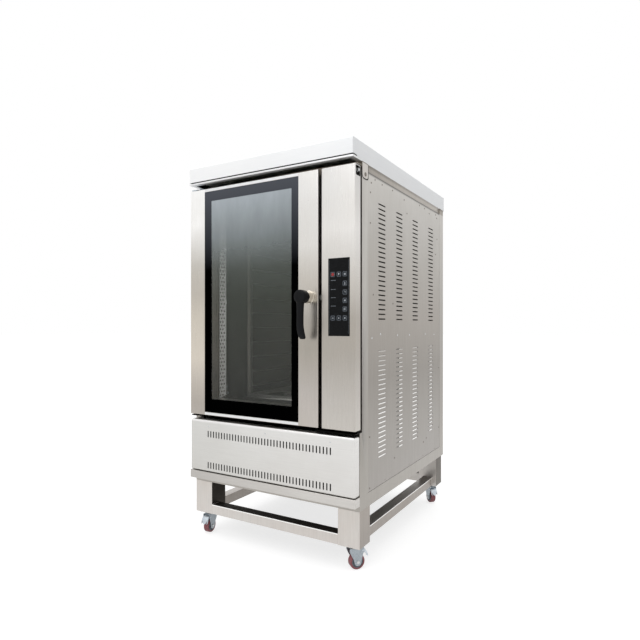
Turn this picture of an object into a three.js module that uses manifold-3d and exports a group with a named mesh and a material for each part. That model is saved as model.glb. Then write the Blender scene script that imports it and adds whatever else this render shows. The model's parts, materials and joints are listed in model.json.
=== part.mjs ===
// A twelve-tray rotating rack oven on a caster stand, in millimetres, +Z up, front towards -Y.
//
// Working datum: x = 0 is the middle of the body, y = 0 the front face of the stand's legs, z = 0
// the floor. The finished group is moved along y, so that its origin is the bottom centre of the
// whole object's bounding box.

import * as THREE from 'three';
import { mergeVertices } from 'three/addons/utils/BufferGeometryUtils.js';
import Module from 'manifold-3d';

const wasm = await Module();
wasm.setup();

// ---------------------------------------------------------------- driving dimensions

const GAP = 0.3; // left between pieces that touch
const SHEET = 2; // panels, liner and door skins
const FRAME_SHEET = 3; // chassis, front frame

// Heights
const LEG_BOTTOM = 120;
const RAIL = [122, 173];
const BASE_BOTTOM = 295;
const BASE_TOP = 360;
const APRON = [320, 363];
const COVER = [365, 645];
const SHELF_TOP = 660;
const DOOR = [671, 1895];
const BODY_RIM = 1888;
const BODY_TOP = 1922;
const HOOD_TOP = 2015;

// Widths
const BODY_HALF = 508.5;
const PANEL_FOLD = 12; // how far a panel's edges are folded in
const HOOD_HALF = 504.5;
const LEG_WIDTH = 115;
const POST_FLANGE = 60;

// Depths
const LEG_DEPTH = 110;
const REAR_LEG_FRONT = 1103;
const BODY_FRONT = 24.5;
const BODY_REAR = 1252;
const FRONT_POST_REAR = 92;
const REAR_POST_FRONT = 1177;
const FACE = -46; // front of the door, the control box and the lower cover
const HOOD_FRONT = -58;
const HOOD_REAR = 1286;
const HANDLE_FRONT = -131;

// Baking chamber and the rack inside it
const CHAMBER_X = [-456, 358];
const CHAMBER_Y = [30, 1000];
const CHAMBER_Z = [718, 1865];
const MOUTH_X = [-425, 253];
const MOUTH_Z = [730, 1853];
const DUCT = 18; // between the liner and a side baffle
const FAN_BAFFLE_Y = 850;
const FAN_CENTRES = [{ name: 'lower', z: 1005 }, { name: 'upper', z: 1575 }];
const RACK_X = -49;
const RACK_Y = 460;
const RACK_HALF = [225, 300];
const RACK_Z = [753, 1837];
const RACK_BAR = 20;
const TRAY_LEVELS = 12;
const TRAY_PITCH = 82;
const FIRST_TRAY = 815;
const RUNNER_REACH = 192; // from the rack's middle to a runner's inner edge
const CEILING_PIN_RADIUS = 10;
const DRIVE_SHAFT_RADIUS = 15;
const FAN_SHAFT_RADIUS = 7;
const FAN_SHAFT_END = 1104; // bottom of the motor's bore
const FAN = {
  radius: 155,
  eye: 95,
  front: 898,
  back: 970,
  sheet: 3,
  hub: 20,
  blades: 8,
  bladeAt: 118,
  bladeHalf: 28,
  bladeTilt: 35,
};
const MOTOR = { plate: 90, body: 68, bodyLength: 140, cap: 58, capLength: 165 };
const MOTOR_BOX = { half: 35, along: [40, 110], above: [50, 92] }; // its terminal box
const HEATER = { radius: 195, tube: 6, perTurn: 16, turns: 2, front: 890, depth: 44 };
const ELECTRICS = { face: 409, sheetY: [180, 900], sheetZ: [760, 1500] };
const INSULATION_X = [-495, 402];
const INSULATION_REAR = 1062;
const INSULATION_Z = [664, 1915];
const GEARBOX = [485, 585]; // its lowest and highest height

// Door
const DOOR_X = [-507.5, 312.5];
const DOOR_BACK = 18;
const GLASS_X = [-403.5, 201.5];
const GLASS_Z = [688, 1878];
const WINDOW_X = [-355.5, 161];
const WINDOW_Z = [760, 1825];
const DOOR_HINGE = { x: -490, y: -22, pin: 6 };
const INNER_PANE = 4.7; // thickness of the door's inner glass
const HANDLE = { x: 258.5, z: 1291, spindle: 7 };
const BARREL_FRONT = -100;

// Control box
const CONTROL_X = [330.5, 508.5];
const CONTROL_BACK = 10;
const CONTROL_HINGE = { x: 492, y: -8, pin: 4 };
const OVERLAY_X = [368, 480.5];
const OVERLAY_Z = [1107, 1468];
const KEY_SIZE = 26;
const KEY_DEPTH = [-47.8, -43.2];
const KEY_COLUMNS = [392.5, 424.5, 456];
const KEY_ROWS = [1392.6, 1349.7, 1309.2, 1271, 1231.5, 1190.2];
const KEYS = [
  { name: 'key_power', column: 0, row: 0, colour: 0xb03a3a },
  { name: 'key_lamp', column: 1, row: 0 },
  { name: 'key_vent', column: 2, row: 0 },
  { name: 'key_temperature', column: 2, row: 1 },
  { name: 'key_time', column: 2, row: 2 },
  { name: 'key_steam', column: 2, row: 3 },
  { name: 'key_rack', column: 2, row: 4 },
  { name: 'key_minus', column: 0, row: 5 },
  { name: 'key_set', column: 1, row: 5 },
  { name: 'key_plus', column: 2, row: 5 },
];

// Casters: a 75 mm wheel in a swivel fork, 120 mm high over all, with a brake pedal
const WHEEL = { radius: 37.5, half: 16, bore: 5.6, sides: 24 };
const CASTER_LEAD = 12; // from the swivel axis to the axle, towards the pedal
const CROWN_TOP = 105;
const CHEEK = { inner: 19, outer: 22 };
const AXLE_RADIUS = 5;
const PEDAL = { x: 36, z: 92, pin: 3, reach: 66 };
const CASTER_PLATE = { half: [47.5, 33.5], thickness: 4, cup: 29 };
const CASTERS = [
  { name: 'front_left', x: -451, y: 55, heading: -82.5 },
  { name: 'front_right', x: 451, y: 55, heading: 50.4 },
  { name: 'rear_left', x: -451, y: 1158, heading: 120 },
  { name: 'rear_right', x: 451, y: 1158, heading: -43.4 },
];

// Louvres of the right side panel, and the slots of the lower front cover
const LOUVRE = { length: 86, height: 10, pitch: 23.8, reach: 8 };
const LOUVRE_COLUMNS = [251.5, 483, 726, 1000];
const LOUVRE_GROUPS = [ // height of each group's first row, and its number of rows
  { first: 500, rows: 23 },
  { first: 1183, rows: 25 },
];
const COVER_SLOT = { width: 7, height: 35, pitch: 18.95, count: 41 };
const COVER_SLOT_ROWS = [401.5, 569.5];
const REAR_SLOT = { columns: [-280, 280], half: 60, first: 1500, rows: 10, pitch: 26, height: 8 };
const GLAND = { x: 360, z: 450, radius: 17, bore: 10, length: 24 };

// ---------------------------------------------------------------- finishes

/** A standard material of one finish. */
function finish(color, roughness, metalness, extra = {}) {
  return new THREE.MeshStandardMaterial({ color, roughness, metalness, ...extra });
}

const FINISH = {
  brushed: finish(0xb8b4ab, 0.38, 1),
  side: finish(0xa09c94, 0.42, 1),
  bright: finish(0xd8d6d0, 0.28, 1),
  canopy: finish(0xe6e8ea, 0.45, 0.3),
  liner: finish(0xa9a8a2, 0.4, 1),
  baffle: finish(0x8f918c, 0.42, 1),
  zinc: finish(0xa8adae, 0.4, 1),
  black: finish(0x26282b, 0.45, 0),
  overlay: finish(0x16171a, 0.3, 0),
  key: finish(0x3a3f48, 0.4, 0),
  redKey: finish(0xb03a3a, 0.4, 0),
  tyre: finish(0x9a4a4e, 0.5, 0),
  glass: finish(0x3c4346, 0.06, 0, { transparent: true, opacity: 0.4 }),
  wool: finish(0xc8bf9e, 0.95, 0),
  seal: finish(0x3a3a3c, 0.8, 0),
  motor: finish(0x4f6070, 0.5, 0.2),
  heater: finish(0x5b4f48, 0.6, 0.8),
};

// ---------------------------------------------------------------- solids

/** A closed three.js geometry as a solid that can be cut and joined. */
function solid(geometry) {
  const bare = geometry.clone();
  bare.deleteAttribute('normal');
  bare.deleteAttribute('uv');
  const merged = mergeVertices(bare, 1e-4);
  return new wasm.Manifold(new wasm.Mesh({
    numProp: 3,
    vertProperties: new Float32Array(merged.attributes.position.array),
    triVerts: new Uint32Array(merged.index.array),
  }));
}

/** A solid as a three.js geometry. */
function geometryOf(shape) {
  const mesh = shape.getMesh();
  const geometry = new THREE.BufferGeometry();
  geometry.setAttribute('position', new THREE.BufferAttribute(mesh.vertProperties, 3));
  geometry.setIndex(new THREE.BufferAttribute(mesh.triVerts, 1));
  geometry.computeVertexNormals();
  return geometry;
}

/** One solid out of several that meet. */
function join(...shapes) {
  return shapes.reduce((whole, shape) => whole.add(shape));
}

/** A solid less several others. */
function cut(shape, ...tools) {
  return tools.length ? shape.subtract(join(...tools)) : shape;
}

/** A box between two values on each axis. */
function block([x0, x1], [y0, y1], [z0, z1]) {
  const box = new THREE.BoxGeometry(x1 - x0, y1 - y0, z1 - z0);
  box.translate((x0 + x1) / 2, (y0 + y1) / 2, (z0 + z1) / 2);
  return solid(box);
}

/** A round bar along 'x', 'y' or 'z', centred on its other two coordinates. */
function rod(axis, radius, [from, to], [first, second], sides = 20) {
  const bar = new THREE.CylinderGeometry(radius, radius, to - from, sides);
  const middle = (from + to) / 2;
  if (axis === 'x') {
    bar.rotateZ(Math.PI / 2);
    bar.translate(middle, first, second);
  } else if (axis === 'y') {
    bar.translate(first, middle, second);
  } else {
    bar.rotateX(Math.PI / 2);
    bar.translate(first, second, middle);
  }
  return solid(bar);
}

/** A flat outline drawn in x and z, with its front face at y0 and its back at y1. */
function plateFacingFront(outline, [y0, y1], options = {}) {
  const plate = new THREE.ExtrudeGeometry(outline, { bevelEnabled: false, depth: y1 - y0, ...options });
  plate.rotateX(Math.PI / 2);
  plate.translate(0, y1, 0);
  return solid(plate);
}

/** A section drawn in y and z, run along x. */
function barAcross(section, [x0, x1], curveSegments = 6) {
  const bar = new THREE.ExtrudeGeometry(section, { bevelEnabled: false, depth: x1 - x0, curveSegments });
  const [alongY, alongZ, alongX] = [[0, 1, 0], [0, 0, 1], [1, 0, 0]].map((v) => new THREE.Vector3(...v));
  bar.applyMatrix4(new THREE.Matrix4().makeBasis(alongY, alongZ, alongX));
  bar.translate(x0, 0, 0);
  return solid(bar);
}

/** A flat rectangular ring in the x-z plane. */
function ring([x0, x1], [z0, z1], [innerX0, innerX1], [innerZ0, innerZ1], [y0, y1]) {
  const hole = block([innerX0, innerX1], [y0 - 1, y1 + 1], [innerZ0, innerZ1]);
  return cut(block([x0, x1], [y0, y1], [z0, z1]), hole);
}

/** A range made smaller at both ends. */
function inset([low, high], by) {
  return [low + by, high - by];
}

/** The same range mirrored about zero. */
function mirrored([low, high]) {
  return [-high, -low];
}

/** A range, or its mirror image where side is -1. */
function onSide(side, range) {
  return side > 0 ? range : mirrored(range);
}

/** A solid of revolution about z, from [radius, height] points that close on themselves. */
function turned(points, sides) {
  const closed = [...points, points[0]].map(([radius, height]) => new THREE.Vector2(radius, height));
  const body = new THREE.LatheGeometry(closed, sides);
  body.rotateX(Math.PI / 2);
  return solid(body);
}

const oven = new THREE.Group();

/** Adds one named sub-part to a group. */
function add(parent, name, shape, material) {
  const mesh = new THREE.Mesh(geometryOf(shape), material);
  mesh.name = name;
  parent.add(mesh);
}

// ---------------------------------------------------------------- stand and casters

/** A leg: a square tube closed at its foot. */
function leg(side, front) {
  const x = onSide(side, [BODY_HALF - LEG_WIDTH, BODY_HALF]);
  const y = [front, front + LEG_DEPTH];
  const top = BASE_BOTTOM - GAP;
  const outer = block(x, y, [LEG_BOTTOM, top]);
  return cut(outer, block(inset(x, SHEET), inset(y, SHEET), [LEG_BOTTOM + 3, top + 1]));
}

/** A channel rail, open below. */
function rail(x, y) {
  return cut(block(x, y, RAIL), block(inset(x, SHEET), inset(y, SHEET), [RAIL[0] - 1, RAIL[1] - SHEET]));
}

/** Four legs joined by a low ring of rails, the side rails set back from the legs' faces. */
function standFrame() {
  const legInner = BODY_HALF - LEG_WIDTH + 1;
  const rearLegBack = REAR_LEG_FRONT + LEG_DEPTH;
  const across = [-legInner, legInner];
  const along = [LEG_DEPTH - 1, REAR_LEG_FRONT + 1];
  const sideRail = [BODY_HALF - 27 - 60, BODY_HALF - 27];
  const legs = [-1, 1].flatMap((side) => [leg(side, 0), leg(side, REAR_LEG_FRONT)]);
  const rails = [
    rail(across, [0, 60]),
    rail(across, [rearLegBack - 60, rearLegBack]),
    rail(sideRail, along),
    rail(mirrored(sideRail), along),
  ];
  return join(...legs, ...rails);
}

/** Mounting plate with its swivel cup and the hole for the king pin. */
function casterPlate() {
  const { half: [halfX, halfY], thickness, cup } = CASTER_PLATE;
  const top = LEG_BOTTOM - GAP;
  const plate = block([-halfX, halfX], [-halfY, halfY], [top - thickness, top]);
  const race = rod('z', cup, [CROWN_TOP + GAP, top - thickness + 1], [0, 0]);
  return cut(join(plate, race), rod('z', 5.6, [CROWN_TOP, top - 2], [0, 0], 10));
}

/** One cheek of the fork: wide at the crown, narrow at the boss round the axle. */
function casterCheek(y) {
  const outline = new THREE.Shape();
  outline.moveTo(-24, CROWN_TOP);
  outline.lineTo(-24, CROWN_TOP - 12);
  outline.lineTo(CASTER_LEAD - 10, WHEEL.radius + 16);
  outline.absarc(CASTER_LEAD, WHEEL.radius, 12, Math.PI, 2 * Math.PI, false);
  outline.lineTo(CASTER_LEAD + 11, WHEEL.radius + 16);
  outline.lineTo(PEDAL.x + 6, PEDAL.z - 7);
  outline.lineTo(PEDAL.x + 6, CROWN_TOP);
  return plateFacingFront(outline, y, { curveSegments: 5 });
}

/** Swivel fork: crown, two cheeks, king pin and the wheel's axle bolt. */
function casterFork() {
  const crown = block([-24, 30], [-CHEEK.outer, CHEEK.outer], [CROWN_TOP - 4, CROWN_TOP]);
  const cheeks = [casterCheek([CHEEK.inner, CHEEK.outer]), casterCheek([-CHEEK.outer, -CHEEK.inner])];
  const kingPin = rod('z', 5, [CROWN_TOP - 2, LEG_BOTTOM - 5], [0, 0], 10);
  const centre = [CASTER_LEAD, WHEEL.radius];
  const axle = rod('y', AXLE_RADIUS, [-CHEEK.outer, CHEEK.outer], centre, 10);
  const heads = [-1, 1].map((side) => rod('y', 8, onSide(side, [CHEEK.outer - 1, 27]), centre, 6));
  const pedalHole = rod('y', PEDAL.pin + GAP, [-25, 25], [PEDAL.x, PEDAL.z], 10);
  return cut(join(crown, ...cheeks, kingPin, axle, ...heads), pedalHole);
}

/** Wheel with its tyre moulded on; one flat of the tread stands on the floor. */
function casterWheel() {
  const { radius, half, bore, sides } = WHEEL;
  const tread = radius / Math.cos(Math.PI / sides);
  const side = [[bore, half + 1], [24, half - 2], [tread - 4, half], [tread, half - 5]];
  const profile = [...side.map(([r, h]) => [r, -h]), ...side.reverse()];
  const wheel = turned(profile, sides).rotate([0, 0, 180 / sides]).rotate([90, 0, 0]);
  return wheel.translate([CASTER_LEAD, 0, radius]);
}

/** Brake pedal: a plate that curves down in front of the wheel to a rounded toe, and its pivot pin. */
function casterPedal() {
  const { x, z, pin, reach } = PEDAL;
  const half = CHEEK.inner - 0.6;
  const toeZ = z - 34;
  const blade = new THREE.Shape();
  blade.moveTo(x - 6, z + 5);
  blade.lineTo(x + 8, z + 5);
  blade.quadraticCurveTo(reach - 2, z, reach, toeZ);
  blade.lineTo(reach - 3, toeZ);
  blade.quadraticCurveTo(reach - 6, z - 4, x + 8, z + 1.5);
  blade.lineTo(x + 4, z - 4);
  blade.lineTo(x - 6, z - 4);
  const toe = new THREE.Shape();
  toe.moveTo(-half, CROWN_TOP);
  toe.lineTo(-half, toeZ + half);
  toe.absarc(0, toeZ + half, half, Math.PI, 2 * Math.PI, false);
  toe.lineTo(half, CROWN_TOP);
  const front = barAcross(toe, [0, reach + 2], 5);
  const body = plateFacingFront(blade, [-half, half], { curveSegments: 4 }).intersect(front);
  return join(body, rod('y', pin, [-24, 24], [x, z], 10));
}

/** The four casters, each turned to its own heading about its swivel axis. */
function addCasters() {
  for (const { name, x, y, heading } of CASTERS) {
    const fixed = new THREE.Group();
    fixed.position.set(x, y, 0);
    add(fixed, `caster_plate_${name}`, casterPlate(), FINISH.zinc);
    const swivel = new THREE.Group();
    swivel.rotation.z = THREE.MathUtils.degToRad(heading);
    add(swivel, `caster_fork_${name}`, casterFork(), FINISH.zinc);
    add(swivel, `caster_wheel_${name}`, casterWheel(), FINISH.tyre);
    add(swivel, `caster_pedal_${name}`, casterPedal(), FINISH.zinc);
    fixed.add(swivel);
    oven.add(fixed);
  }
}

// ---------------------------------------------------------------- chassis and casing

/** An angle post: a leg along the side and a flange along the front or the rear. */
function post(side, y, flangeAtFront, z) {
  const alongSide = block(onSide(side, [BODY_HALF - FRAME_SHEET, BODY_HALF]), y, z);
  const flangeY = flangeAtFront ? [y[0], y[0] + FRAME_SHEET] : [y[1] - FRAME_SHEET, y[1]];
  return join(alongSide, block(onSide(side, [BODY_HALF - POST_FLANGE, BODY_HALF]), flangeY, z));
}

/** A hollow upright band round the body, with its outside at x and y. */
function band(x, y, z) {
  return cut(block(x, y, z), block(inset(x, FRAME_SHEET), inset(y, FRAME_SHEET), inset(z, -1)));
}

/** A horizontal flange that runs inwards round the body. */
function flange(x, y, z, width) {
  return cut(block(x, y, z), block(inset(x, width), inset(y, width), inset(z, -1)));
}

/** Lugs with pins that the control box swings on. */
function controlLugs() {
  const { x, y, pin } = CONTROL_HINGE;
  const lugX = [x - 14, x + 14];
  const lugY = [y - 14, BODY_FRONT + 1];
  const upper = join(
    block(lugX, lugY, [DOOR[1] + 3.5, DOOR[1] + 8.5]),
    rod('z', pin, [DOOR[1] - 12, DOOR[1] + 4], [x, y], 12),
  );
  const lower = join(
    block(lugX, [y - 14, 1], [SHELF_TOP - FRAME_SHEET, SHELF_TOP + 4]),
    rod('z', pin, [SHELF_TOP + 3, DOOR[0] + 12], [x, y], 12),
  );
  return [upper, lower];
}

/** Base pan, corner posts, shelf under the door, top rim, cross member and control box lugs. */
function chassisFrame() {
  const bodyX = [-BODY_HALF, BODY_HALF];
  const base = [
    band(bodyX, [0, BODY_REAR], [BASE_BOTTOM, BASE_TOP]),
    block(inset(bodyX, 1), [1, BODY_REAR - 1], [BASE_BOTTOM, BASE_BOTTOM + FRAME_SHEET]),
  ];
  const posts = [-1, 1].flatMap((side) => [
    post(side, [0, FRONT_POST_REAR], true, [BASE_TOP - 1, SHELF_TOP]),
    post(side, [BODY_FRONT, FRONT_POST_REAR], true, [SHELF_TOP - FRAME_SHEET, BODY_TOP]),
    post(side, [REAR_POST_FRONT, BODY_REAR], false, [BASE_TOP - 1, BODY_TOP]),
  ]);
  const shelf = block(bodyX, [0, BODY_FRONT + FRAME_SHEET], [SHELF_TOP - FRAME_SHEET, SHELF_TOP]);
  const rimX = inset(bodyX, FRAME_SHEET - 0.5);
  const rim = [
    band(rimX, [BODY_FRONT, BODY_REAR], [BODY_RIM, BODY_TOP]),
    flange(rimX, [BODY_FRONT, BODY_REAR], [BODY_TOP - FRAME_SHEET, BODY_TOP], 30),
  ];
  const crossMember = block(inset(bodyX, 1), [RACK_Y - 70, RACK_Y + 70], [BASE_TOP - 8, BASE_TOP]);
  const controlShelf = block([300, BODY_HALF], [FACE, 1], [SHELF_TOP - FRAME_SHEET, SHELF_TOP]);
  return join(...base, ...posts, shelf, controlShelf, ...rim, crossMember, ...controlLugs());
}

/** Keeper post beside the door, which the latch turns in behind. */
function latchKeeper() {
  const x = [323.5, 328.5];
  const arm = block(x, [-18, BODY_FRONT + 1], [HANDLE.z + 18, HANDLE.z + 32]);
  return join(arm, block(x, [-18, -13], [HANDLE.z - 14, HANDLE.z + 20]));
}

/** Front sheet round the chamber's mouth, with jambs, the wiring opening and the keeper. */
function frontFrame() {
  const y = [BODY_FRONT, BODY_FRONT + FRAME_SHEET];
  const edge = BODY_HALF - POST_FLANGE - 0.5;
  const sheet = block([-edge, edge], y, [SHELF_TOP + GAP, BODY_RIM - GAP]);
  const mouth = block(MOUTH_X, inset(y, -60), MOUTH_Z);
  const wiring = block([362, 436], inset(y, -1), [700, 1840]);
  const jambs = ring(inset(MOUTH_X, -SHEET), inset(MOUTH_Z, -SHEET), MOUTH_X, MOUTH_Z, [y[1] - 1, 58]);
  return join(cut(join(sheet, jambs), mouth, wiring), latchKeeper());
}

/** Stainless chamber, open at the front, with its ceiling bearing and the shafts' holes. */
function chamberLiner() {
  const x = inset(CHAMBER_X, -SHEET);
  const z = inset(CHAMBER_Z, -SHEET);
  const shell = block(x, [CHAMBER_Y[0], CHAMBER_Y[1] + SHEET], z);
  const room = block(CHAMBER_X, [CHAMBER_Y[0] - 1, CHAMBER_Y[1]], CHAMBER_Z);
  const bearing = rod('z', 22, [CHAMBER_Z[1] - 16, CHAMBER_Z[1] + 1], [RACK_X, RACK_Y]);
  const bore = rod('z', CEILING_PIN_RADIUS + 1, [CHAMBER_Z[1] - 17, CHAMBER_Z[1]], [RACK_X, RACK_Y]);
  return cut(join(cut(shell, room), bearing), bore, ...shaftHoles(28, 20));
}

/** Holes for the rack's drive shaft through the floor and the fans' shafts through the rear. */
function shaftHoles(driveRadius, fanRadius) {
  const drive = rod('z', driveRadius, [INSULATION_Z[0] - 1, CHAMBER_Z[0] + 1], [RACK_X, RACK_Y]);
  const fans = FAN_CENTRES.map(({ z }) => (
    rod('y', fanRadius, [CHAMBER_Y[1] - 1, INSULATION_REAR + 1], [RACK_X, z], 12)
  ));
  return [drive, ...fans];
}

/** Mineral wool round five sides of the liner. */
function insulationJacket() {
  const clear = SHEET + GAP;
  const outer = block(INSULATION_X, [CHAMBER_Y[0], INSULATION_REAR], INSULATION_Z);
  const hollowY = [CHAMBER_Y[0] - 1, CHAMBER_Y[1] + clear];
  const hollow = block(inset(CHAMBER_X, -clear), hollowY, inset(CHAMBER_Z, -clear));
  return cut(outer, hollow, ...shaftHoles(30, 24));
}

/** A shallow tray between the posts, its sheet folded in round all four edges. */
function sidePanel(side) {
  const y = [FRONT_POST_REAR + 0.5, REAR_POST_FRONT - 0.5];
  const z = [BASE_TOP + 0.5, BODY_RIM - 0.5];
  const tray = block(onSide(side, [BODY_HALF - PANEL_FOLD, BODY_HALF]), y, z);
  const behind = onSide(side, [BODY_HALF - PANEL_FOLD - 1, BODY_HALF - SHEET]);
  const hollow = block(behind, inset(y, SHEET), inset(z, SHEET));
  return cut(tray, hollow);
}

/** The y range and the lower edge of every louvre: four columns in two groups. */
function louvrePlaces() {
  const places = [];
  for (const { first, rows } of LOUVRE_GROUPS) {
    for (const centre of LOUVRE_COLUMNS) {
      for (let row = 0; row < rows; row += 1) {
        const y = [centre - LOUVRE.length / 2, centre + LOUVRE.length / 2];
        places.push({ y, z: first + row * LOUVRE.pitch });
      }
    }
  }
  return places;
}

/** A louvre's blade, pressed inwards and upwards from its slot's lower edge. */
function louvreBlade({ y, z }) {
  const tip = BODY_HALF - LOUVRE.reach;
  const section = new THREE.Shape();
  section.moveTo(BODY_HALF, z);
  section.lineTo(tip, z + LOUVRE.reach);
  section.lineTo(tip, z + LOUVRE.reach - SHEET);
  section.lineTo(BODY_HALF - SHEET, z - SHEET / 2);
  return plateFacingFront(section, y);
}

/** Right side panel with its pressed louvres. */
function louvredPanel() {
  const places = louvrePlaces();
  const x = [BODY_HALF - 5, BODY_HALF + 1];
  const slots = places.map(({ y, z }) => block(x, y, [z, z + LOUVRE.height]));
  return join(cut(sidePanel(1), ...slots), ...places.map(louvreBlade));
}

/** Rear cover with slots beside the fan motors and the gland of the supply cable. */
function rearPanel() {
  const { columns, half, first, rows, pitch, height } = REAR_SLOT;
  const { x, z, radius, bore, length } = GLAND;
  const edge = BODY_HALF - POST_FLANGE - 0.5;
  const depth = [BODY_REAR - PANEL_FOLD, BODY_REAR];
  const upright = [BASE_TOP + 0.5, BODY_RIM - 0.5];
  const across = [-edge, edge];
  const behind = [depth[0] - 1, depth[1] - SHEET];
  const tray = block(across, depth, upright);
  const hollow = block(inset(across, SHEET), behind, inset(upright, SHEET));
  const slots = [];
  for (const centre of columns) {
    for (let row = 0; row < rows; row += 1) {
      const low = first + row * pitch;
      slots.push(block([centre - half, centre + half], [depth[0], depth[1] + 1], [low, low + height]));
    }
  }
  const gland = rod('y', radius, [BODY_REAR - SHEET, BODY_REAR + length], [x, z]);
  const through = rod('y', bore, [BODY_REAR - 5, BODY_REAR + length + 1], [x, z]);
  return cut(join(cut(tray, hollow), gland), through, ...slots);
}

/** Canopy on top: an upside-down tray with a return lip all round. */
function hood() {
  const x = [-HOOD_HALF, HOOD_HALF];
  const y = [HOOD_FRONT, HOOD_REAR];
  const bottom = BODY_TOP + GAP;
  const outer = block(x, y, [bottom, HOOD_TOP]);
  const room = block(inset(x, SHEET), inset(y, SHEET), [bottom + SHEET, HOOD_TOP - SHEET]);
  return cut(outer, room, block(inset(x, 25), inset(y, 25), [bottom - 1, bottom + SHEET + 1]));
}

/** Side view of a cover across the front, with a rounded upper front edge. */
function coverOutline([back, front], [bottom, top], radius) {
  const outline = new THREE.Shape();
  outline.moveTo(back, top);
  outline.lineTo(front + radius, top);
  outline.absarc(front + radius, top - radius, radius, Math.PI / 2, Math.PI, false);
  outline.lineTo(front, bottom);
  outline.lineTo(back, bottom);
  return outline;
}

/** A folded cover across the front with closed ends, open towards the body. */
function foldedCover(half, [back, front], z, radius) {
  const outer = barAcross(coverOutline([back, front], z, radius), [-half, half]);
  const hollow = coverOutline([back + 1, front + SHEET], inset(z, SHEET), radius - SHEET);
  return cut(outer, barAcross(hollow, [SHEET - half, half - SHEET]));
}

/** Lower front cover with its two rows of upright slots. */
function frontCover() {
  const slots = [];
  const first = -((COVER_SLOT.count - 1) / 2) * COVER_SLOT.pitch;
  for (const z of COVER_SLOT_ROWS) {
    for (let n = 0; n < COVER_SLOT.count; n += 1) {
      const x = first + n * COVER_SLOT.pitch;
      const width = [x - COVER_SLOT.width / 2, x + COVER_SLOT.width / 2];
      const height = [z - COVER_SLOT.height / 2, z + COVER_SLOT.height / 2];
      slots.push(block(width, [FACE - 1, FACE + 5], height));
    }
  }
  return cut(foldedCover(BODY_HALF - 1.5, [-GAP, FACE], COVER, 11), ...slots);
}

/** Trim band under the lower cover. */
function frontApron() {
  return foldedCover(BODY_HALF, [-GAP, FACE - 1], APRON, 3);
}

/** Adds the stand, the chassis, the chamber and the casing. */
function addCasing() {
  add(oven, 'stand_frame', standFrame(), FINISH.brushed);
  add(oven, 'chassis_frame', chassisFrame(), FINISH.side);
  add(oven, 'front_frame', frontFrame(), FINISH.side);
  add(oven, 'chamber_liner', chamberLiner(), FINISH.liner);
  add(oven, 'insulation_jacket', insulationJacket(), FINISH.wool);
  add(oven, 'side_panel_left', sidePanel(-1), FINISH.side);
  add(oven, 'side_panel_right', louvredPanel(), FINISH.side);
  add(oven, 'rear_panel', rearPanel(), FINISH.side);
  add(oven, 'hood', hood(), FINISH.canopy);
  add(oven, 'front_cover', frontCover(), FINISH.bright);
  add(oven, 'front_apron', frontApron(), FINISH.brushed);
}

// ---------------------------------------------------------------- air circulation

/** Upright slots over a width of a side baffle. */
function baffleSlots(x, yCentres, width, rows) {
  const [bottom, top] = inset(MOUTH_Z, 30);
  const pitch = (top - bottom) / rows;
  const slots = [];
  for (const y of yCentres) {
    for (let row = 0; row < rows; row += 1) {
      const z = [bottom + row * pitch + 8, bottom + (row + 1) * pitch - 8];
      slots.push(block(x, [y - width / 2, y + width / 2], z));
    }
  }
  return slots;
}

/** Side air duct's cover: a tray on the liner's wall, slotted at the front and the rear. */
function airBaffle(side) {
  const wall = side < 0 ? CHAMBER_X[0] : CHAMBER_X[1];
  const across = (near, far) => [wall - side * far, wall - side * near].sort((a, b) => a - b);
  const y = [65, 842];
  const z = inset(CHAMBER_Z, 8);
  const tray = block(across(GAP, DUCT + SHEET), y, z);
  const hollow = block(across(GAP - 1, DUCT), [y[0] + SHEET, y[1] + 1], inset(z, SHEET));
  const through = across(DUCT - 1, DUCT + SHEET + 1);
  const slots = [
    ...baffleSlots(through, [80, 101, 122, 143], 12, 4),
    ...baffleSlots(through, [171.5], 12, 2),
    ...baffleSlots(through, [800, 824], 12, 4),
  ];
  return cut(tray, hollow, ...slots);
}

/** Radial slots of one fan's suction guard. */
function guardSlots(centreZ) {
  const count = 12;
  const slots = [];
  for (let n = 0; n < count; n += 1) {
    const slot = block([45, 125], [FAN_BAFFLE_Y - 1, FAN_BAFFLE_Y + SHEET + 1], [-8, 8]);
    slots.push(slot.rotate([0, (360 / count) * n, 0]).translate([RACK_X, 0, centreZ]));
  }
  return slots;
}

/** Rear partition with the fans' guards, on four studs from the liner's rear wall. */
function fanBaffle() {
  const reach = DUCT + SHEET + 1;
  const x = inset(CHAMBER_X, reach);
  const z = inset(CHAMBER_Z, 8);
  const sheet = block(x, [FAN_BAFFLE_Y, FAN_BAFFLE_Y + SHEET], z);
  const studs = inset(x, 30).flatMap((studX) => inset(z, 30).map((studZ) => (
    rod('y', 6, [FAN_BAFFLE_Y + 1, CHAMBER_Y[1] - GAP], [studX, studZ], 8)
  )));
  return cut(join(sheet, ...studs), ...FAN_CENTRES.flatMap((fan) => guardSlots(fan.z)));
}

/** Centrifugal fan wheel on its shaft. */
function fanWheel(z) {
  const { radius, eye, front, back, sheet, hub, blades, bladeAt, bladeHalf, bladeTilt } = FAN;
  const centre = [RACK_X, z];
  const disc = rod('y', radius, [back, back + sheet], centre, 16);
  const rim = [front, front + sheet];
  const shroud = cut(rod('y', radius, rim, centre, 16), rod('y', eye, inset(rim, -1), centre, 16));
  const boss = rod('y', hub, [back - 40, back + 8], centre, 8);
  const shaft = rod('y', FAN_SHAFT_RADIUS, [back, FAN_SHAFT_END - 4], centre, 8);
  const vanes = [];
  for (let n = 0; n < blades; n += 1) {
    const flat = block([-bladeHalf, bladeHalf], [front + 2, back + 1], [-sheet / 2, sheet / 2]);
    const vane = flat.rotate([0, bladeTilt, 0]).translate([bladeAt, 0, 0]);
    vanes.push(vane.rotate([0, (360 / blades) * n, 0]).translate([RACK_X, 0, z]));
  }
  return join(disc, shroud, boss, shaft, ...vanes);
}

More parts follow.
